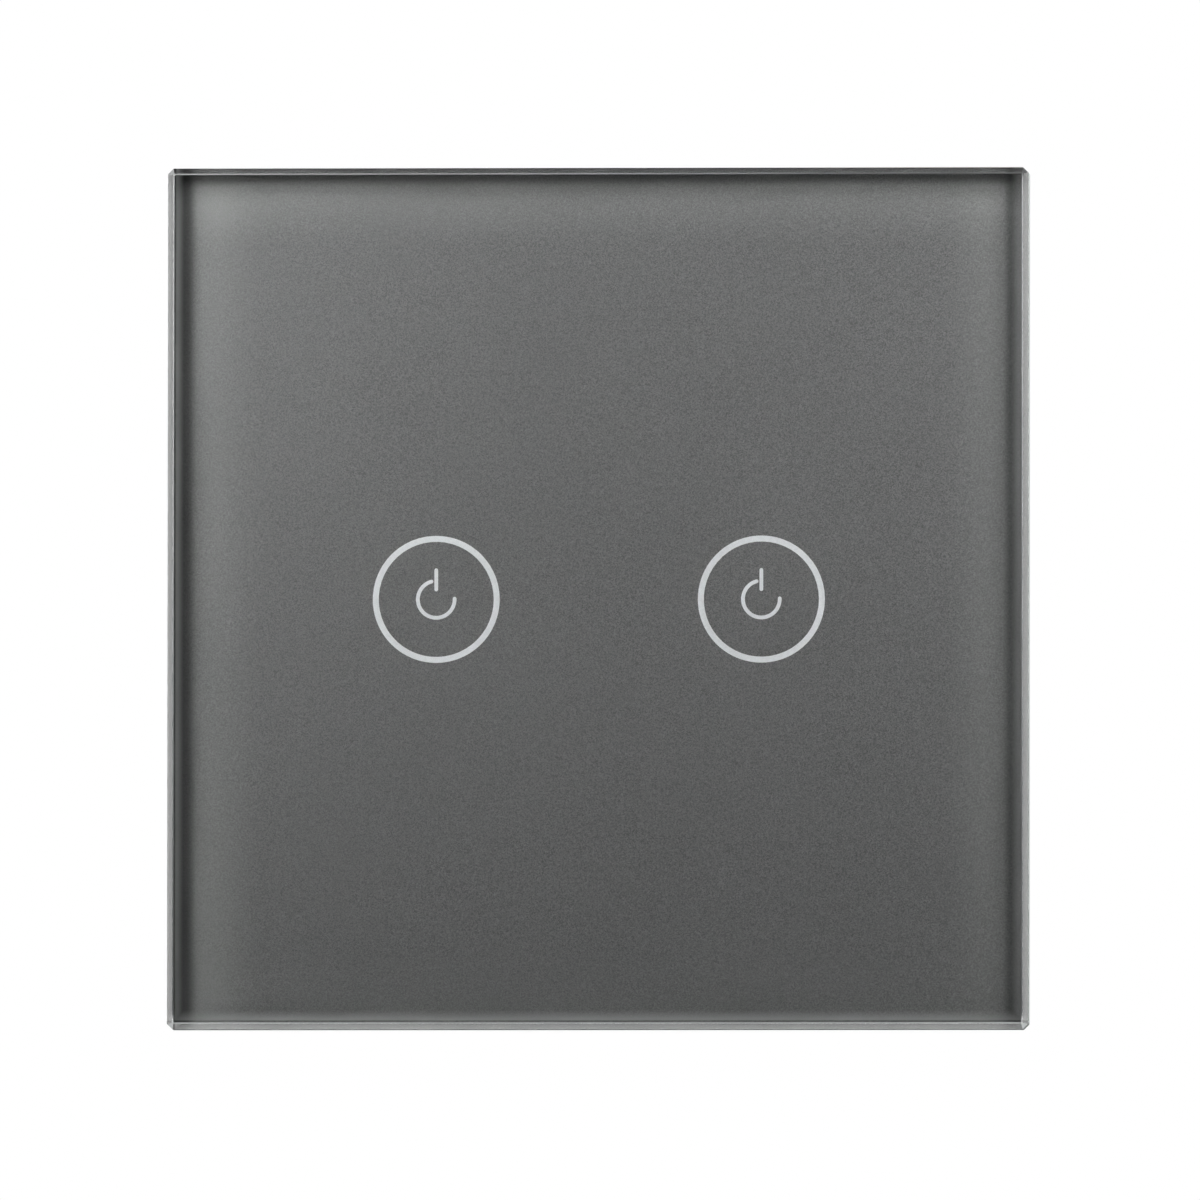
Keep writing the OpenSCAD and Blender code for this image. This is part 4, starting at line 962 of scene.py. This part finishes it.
# %% [markdown]
# ## Relay coils
# A relay coil is a few thousand turns of hair-thin wire, and only its outer layer shows. The
# surface here is one skin whose radius swells and dips along a screw line, so that the
# turns climb from flange to flange as one wire does. A curve with a round section could do it
# too, but would need ten times the faces.

# %% Relay coils
COIL_BORE = 4.7 * MM
COIL_TURNS = 34
COIL_STEPS = 48
STEPS_PER_WIRE = 6


def wound_rings(middle, low, high, outer):
    """Rings of points up the coil, each point as far out as the wire that passes there."""
    wire = (high - low) / COIL_TURNS
    rings = []
    for i in range(COIL_TURNS * STEPS_PER_WIRE + 1):
        height = i / STEPS_PER_WIRE
        ring = []
        for k in range(COIL_STEPS):
            share = k / COIL_STEPS
            across = (height - share) % 1.0 * 2 - 1
            radius = outer - wire / 2 * (1 - math.sqrt(max(0.0, 1 - across * across)))
            ring.append(ring_point(middle, radius, 2 * math.pi * share, low + wire * height))
        rings.append(ring)
    return rings


def make_coil(side):
    node = f"relay_coil_{side}"
    low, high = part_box(node)
    middle = (low + high) / 2
    rings = wound_rings(middle, low.y, high.y, (high.x - low.x) / 2)
    angles = [2 * math.pi * k / COIL_STEPS for k in range(COIL_STEPS)]
    for y in (high.y, low.y):
        rings.append([ring_point(middle, COIL_BORE / 2, angle, y) for angle in angles])
    shape = bmesh.new()
    loft(shape, rings, looped=True)
    return add_piece(f"wound_coil_{side}", shape, node, "switch_body", "copper_winding")


for side in SIDES:
    print("coil", side, "faces:", len(make_coil(side).data.polygons))

# %% [markdown]
# ## Capacitor, varistor and fuse
# None of these parts has a sharp edge. The capacitor is a can in a shrunk sleeve, with a rolled
# groove that grips its rubber bung and bare metal on its top. The varistor is a ceramic disc
# dipped in resin, which runs a little way down its wires. The fuse is a ceramic rod with a cap
# on each end, under one coat of lacquer. Each body is an outline turned round its own axis, which
# keeps every round of it true, and the wires follow paths as the springs do. The outlines are
# pairs of radius and height in mm.

# %% Capacitor, varistor and fuse
LEAD = 0.7 * MM
LEAD_BEND = 0.6 * MM
BEND_STEPS = 6
TURNED_STEPS = 48
AXIS_X, AXIS_Y, AXIS_Z = range(3)
BODY, WIRE, TOP = range(3)
CAN_FOOT = [(3.2, 0), (3.45, 0.1), (3.5, 0.5), (3.8, 0.55), (3.95, 0.65), (4.0, 0.85), (4.0, 1.9)]
CAN_GROOVE = [(4 - 0.35 * math.sin(math.pi * i / 8), 1.9 + 0.1 * i) for i in range(1, 9)]
CAN_HEAD = [(4.0, 10.9), (3.95, 11.25), (3.8, 11.45), (3.6, 11.5), (3.2, 11.5)]
CAN_BARE_TOP = [(3.1, 11.4), (3.0, 11.3)]
SLEEVE_RIM = 3.1 * MM
BARE_FROM = 11.2 * MM
CAN_LEADS = 1.75 * MM
CAN_GRIP = 0.1 * MM
DISC_STEPS = 11
DISC_TURN = math.radians(8)
DISC_FLAT = 0.7
DISC_RIM = 0.5
DISC_LEADS = 2.5 * MM
DISC_GRIP = 1.2 * MM
RESIN_RUN = [
    (0.36, -3.6), (0.42, -3.4), (0.6, -2.9), (0.95, -2.2), (1.1, -1.4), (0.9, -0.8), (0.4, -0.6),
]
FUSE_WAIST = [(1.28, 0), (1.29, 0.9), (1.36, 1.3)]
FUSE_CAP = [(1.47, 1.6), (1.5, 1.9), (1.48, 2.5), (1.35, 2.8), (1.0, 2.96), (0.4, 3)]
FUSE_GRIP = 2.8 * MM


def turned(shape, outline, centre, axis):
    """Turns an outline round a line through a centre."""
    rings = []
    for radius, height in outline:
        ring = []
        for k in range(TURNED_STEPS):
            angle = 2 * math.pi * k / TURNED_STEPS
            point = Vector(centre)
            point[axis] += height * MM
            point[(axis + 1) % 3] += radius * MM * math.cos(angle)
            point[(axis + 2) % 3] += radius * MM * math.sin(angle)
            ring.append(point)
        rings.append(ring)
    loft(shape, rings)


def add_wires(shape, paths):
    """Adds the leads and marks their faces as bare wire."""
    for face in shape.faces:
        face.smooth = len(face.verts) == 4
    made = set(shape.faces)
    for path in paths:
        round_wire(shape, path, LEAD)
    for face in shape.faces:
        if face not in made:
            face.material_index = WIRE


def make_capacitor():
    low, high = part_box("reservoir_capacitor")
    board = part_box("power_board")[1].y
    middle = (low + high) / 2
    foot = Vector((middle.x, board, middle.z))
    shape = bmesh.new()
    turned(shape, CAN_FOOT + CAN_GROOVE + CAN_HEAD + CAN_BARE_TOP, foot, AXIS_Y)
    for face in shape.faces:
        off = face.calc_center_median() - foot
        if off.y > BARE_FROM and math.hypot(off.x, off.z) < SLEEVE_RIM:
            face.material_index = TOP
    leads = [(foot.x, foot.z + side * CAN_LEADS) for side in (-1, 1)]
    add_wires(shape, [[(x, low.y, z), (x, board + CAN_GRIP, z)] for x, z in leads])
    looks = ("dark_sleeve", "screw_steel", "zinc_steel")
    return add_piece("sleeved_capacitor", shape, "reservoir_capacitor", "switch_body", *looks)


def make_varistor():
    low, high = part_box("varistor")
    radius = (high.z - low.z) / 2
    middle = Vector(((low.x + high.x) / 2, high.y - radius, (low.z + high.z) / 2))
    half = (high.x - low.x) / 2
    outline = []
    for i in range(-DISC_STEPS, DISC_STEPS + 1):
        angle = i * DISC_TURN
        height = math.copysign(abs(math.sin(angle)) ** DISC_FLAT, i)
        outline.append((radius / MM * math.cos(angle) ** DISC_RIM, half / MM * height))
    shape = bmesh.new()
    turned(shape, outline, middle, AXIS_X)
    leads = [middle.z + side * DISC_LEADS for side in (-1, 1)]
    for z in leads:
        turned(shape, RESIN_RUN, (middle.x, middle.y, z), AXIS_Y)
    grip = middle.y - DISC_GRIP
    add_wires(shape, [[(middle.x, low.y, z), (middle.x, grip, z)] for z in leads])
    looks = ("blue_resin", "screw_steel")
    return add_piece("dipped_varistor", shape, "varistor", "switch_body", *looks)


def make_fuse():
    low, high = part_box("fuse")
    radius = (high.x - low.x) / 2
    middle = Vector(((low.x + high.x) / 2, high.y - radius, (low.z + high.z) / 2))
    half = FUSE_WAIST + FUSE_CAP
    outline = [(r, -h) for r, h in reversed(half[1:])] + half
    shape = bmesh.new()
    turned(shape, outline, middle, AXIS_Z)
    reach = high.z - middle.z - LEAD / 2
    turn_at = reach - LEAD_BEND
    paths = []
    for side in (-1, 1):
        path = [(middle.x, middle.y, middle.z + side * FUSE_GRIP)]
        for i in range(BEND_STEPS + 1):
            angle = i / BEND_STEPS * math.pi / 2
            out = turn_at + LEAD_BEND * math.sin(angle)
            drop = LEAD_BEND * (1 - math.cos(angle))
            path.append((middle.x, middle.y - drop, middle.z + side * out))
        path.append((middle.x, low.y, middle.z + side * reach))
        paths.append(path)
    add_wires(shape, paths)
    looks = ("brown_body", "screw_steel")
    return add_piece("lacquered_fuse", shape, "fuse", "switch_body", *looks)


for piece in (make_capacitor(), make_varistor(), make_fuse()):
    print(piece.name, "faces:", len(piece.data.polygons))

# %% [markdown]
# ## Tracks and pads of the touch board
# With the panel off, the front of the touch board shows. Etching leaves each track as a flat
# ribbon with a dark gap on both sides, bent at half right angles so that no corner traps the acid.
# Seven run from the chip to the header pins, the rest to the two springs, to the lamps beside
# them and to small lands. The tinned pads are left bare. A painted pattern would not know where
# the parts stand, so the ribbons are drawn along routes between them. All numbers are in mm here.

# %% Tracks and pads of the touch board
TRACK = 0.45
TRACK_GAP = 0.95
TRACK_RISE = 0.03
GAP_RISE = 0.006
SLOPE = 0.04
SUNK = 0.02
CHIP_PITCH = 1.27
CHIP_LEADS = 8
CHIP_PAD = 0.62
CHIP_PAD_REACH = 0.75
LEAD_FOOT = 0.5
PIN_PITCH = 2.54
PINS = 7
PAD_TIN = 0.05
FAN = 1.0
SPARE_FAN = 0.5
SPARE_RUN = 8.1
SPRING_BEND = -16.4
LAMP_BEND = -17.4
STUB_END = -17.6
STUB_STEP = 0.9
SPRING_ROUTE = [(6.0, -17.955), (8.0, -17.955), (14.5, -11.455), (14.5, -3.9)]
LAMP_ROUTE = [(4.73, -18.955), (8.42, -18.955), (15.6, -11.775), (15.6, -5.8)]
LAND = [(0.42, SUNK), (0.42, -0.02), (0.38, -0.04), (0.2, -0.04)]
CONE = [(0.95, SUNK), (0.95, -0.03), (0.72, -0.12), (0.56, -0.3), (0.48, -0.55), (0.46, -0.6)]
SPRING_PAD = [(4.4, SUNK), (4.4, -0.03), (4.34, -PAD_TIN), (1.0, -PAD_TIN)]
COPPER, GAP = range(2)

board_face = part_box("touch_board")[0].y
chip_low, chip_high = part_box("touch_controller")
pins_low, pins_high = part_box("header_pins")
chip_top = chip_high.z / MM - LEAD_FOOT
chip_foot = chip_low.z / MM + LEAD_FOOT
pins_at = (pins_low.z + pins_high.z) / 2 / MM
lead_places = [(i - (CHIP_LEADS - 1) / 2) * CHIP_PITCH for i in range(CHIP_LEADS)]
pin_places = [(i - (PINS - 1) / 2) * PIN_PITCH for i in range(PINS)]


def track_routes():
    """Routes across the board as lists of (x, z)."""
    routes = []
    fan = chip_top + FAN
    for start, end in zip(lead_places, pin_places):
        bend = (end, fan + abs(end - start))
        routes.append([(start, chip_top), (start, fan), bend, (end, pins_at)])
    last = lead_places[-1]
    spare = chip_top + SPARE_FAN
    routes.append([(last, chip_top), (last, spare), (last + SPARE_RUN, spare + SPARE_RUN)])
    for side in (-1, 1):
        for lead, bend, rest in ((-1, SPRING_BEND, SPRING_ROUTE), (-2, LAMP_BEND, LAMP_ROUTE)):
            start = side * lead_places[lead]
            route = [(start, chip_foot), (start, bend)]
            routes.append(route + [(side * x, z) for x, z in rest])
    for step, start in enumerate(lead_places[2:-2]):
        routes.append([(start, chip_foot), (start, STUB_END - STUB_STEP * step)])
    return routes


def ribbon(shape, route, width, rise):
    """A flat strip with sloping sides along a route."""
    half = width / 2
    section = [(half, SUNK), (half - SLOPE, -rise), (SLOPE - half, -rise), (-half, SUNK)]
    spots = [Vector(spot) for spot in route]
    rings = []
    for i, spot in enumerate(spots):
        before = (spot - spots[i - 1]).normalized() if i else (spots[1] - spot).normalized()
        after = (spots[i + 1] - spot).normalized() if i + 1 < len(spots) else before
        along = (before + after).normalized()
        beside = Vector((-along.y, along.x)) / along.dot(after)
        ring = []
        for off, height in section:
            point = (spot + beside * off) * MM
            ring.append((point.x, board_face + height * MM, point.y))
        rings.append(ring)
    loft(shape, rings)


def make_tracks():
    shape = bmesh.new()
    routes = track_routes()
    for route in routes:
        ribbon(shape, route, TRACK_GAP, GAP_RISE)
    gaps = set(shape.faces)
    for route in routes:
        ribbon(shape, route, TRACK, TRACK_RISE)
        x, z = route[-1]
        turned(shape, LAND, (x * MM, board_face, z * MM), AXIS_Y)
    for face in shape.faces:
        face.material_index = GAP if face in gaps else COPPER
    looks = ("circuit_board", "etched_gap")
    return add_piece("board_tracks", shape, None, "switch_body", *looks)


def make_pads():
    shape = bmesh.new()
    for x in lead_places:
        for z in (chip_top, chip_foot):
            out = math.copysign(CHIP_PAD_REACH, z - (chip_top + chip_foot) / 2)
            ribbon(shape, [(x, z - out), (x, z + out)], CHIP_PAD, PAD_TIN)
    for x in pin_places:
        turned(shape, CONE, (x * MM, board_face, pins_at * MM), AXIS_Y)
    for side in SIDES:
        middle = sum(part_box(f"light_guide_{side}"), Vector()) / 2
        turned(shape, SPRING_PAD, (middle.x, board_face, middle.z), AXIS_Y)
    return add_piece("tinned_pads", shape, None, "switch_body", "screw_steel")


for piece in (make_tracks(), make_pads()):
    print(piece.name, "faces:", len(piece.data.polygons))

# %% [markdown]
# ## Touch controller
# The chip is a moulded block. Its sides slope away from a parting line, so that it leaves its
# mould, and a wider slope along one edge marks the side of the first lead. The leads are narrow
# strips of tinned copper, bent down to the board and out again. The block is a stack of rings,
# each given by its height and two insets in mm, the second on the marked side. Each lead is a
# section carried along one bent path.

# %% Touch controller
LEAD_WIDTH = 0.42 * MM
LEAD_SHEET = 0.17 * MM
LEAD_PATH = [
    (1.8, 0.8), (2.05, 0.8), (2.2, 0.74), (2.27, 0.6),
    (2.35, 0.27), (2.42, 0.13), (2.55, 0.09), (2.94, 0.09),
]
CHIP_HALF_LENGTH = 4.95
CHIP_HALF_WIDTH = 1.95
CHIP_CORNER = 0.1
CHIP_RINGS = [
    (0.2, 0.12, 0.12), (0.8, 0.0, 0.0), (1.15, 0.05, 0.06), (1.53, 0.11, 0.42), (1.6, 0.19, 0.5),
]


def bent_lead(shape, x, middle, side):
    """A flat strip of one width along the lead's path, out to one side of the chip."""
    spots = [Vector(spot) * MM for spot in LEAD_PATH]
    rings = []
    for i, spot in enumerate(spots):
        along = (spots[min(i + 1, len(spots) - 1)] - spots[max(i - 1, 0)]).normalized()
        thick = Vector((-along.y, along.x)) * LEAD_SHEET / 2
        ring = []
        for beside, off in ((-1, -1), (1, -1), (1, 1), (-1, 1)):
            point = spot + thick * off
            across = x * MM + beside * LEAD_WIDTH / 2
            ring.append((across, board_face - point.y, middle + side * point.x))
        rings.append(ring)
    loft(shape, rings)


def make_chip():
    middle = (chip_low.z + chip_high.z) / 2
    shape = bmesh.new()
    rings = []
    for height, inset, marked_inset in CHIP_RINGS:
        ends = (marked_inset - CHIP_HALF_WIDTH, CHIP_HALF_WIDTH - inset)
        corners = cut_box(CHIP_HALF_LENGTH - inset, *ends, CHIP_CORNER)
        rings.append([(x * MM, board_face - height * MM, middle + z * MM) for x, z in corners])
    loft(shape, rings)
    block = set(shape.faces)
    for x in lead_places:
        for side in (-1, 1):
            bent_lead(shape, x, middle, side)
    for face in shape.faces:
        face.material_index = BODY if face in block else WIRE
    looks = ("black_moulding", "screw_steel")
    return add_piece("touch_chip", shape, "touch_controller", "switch_body", *looks)


print("chip faces:", len(make_chip().data.polygons))
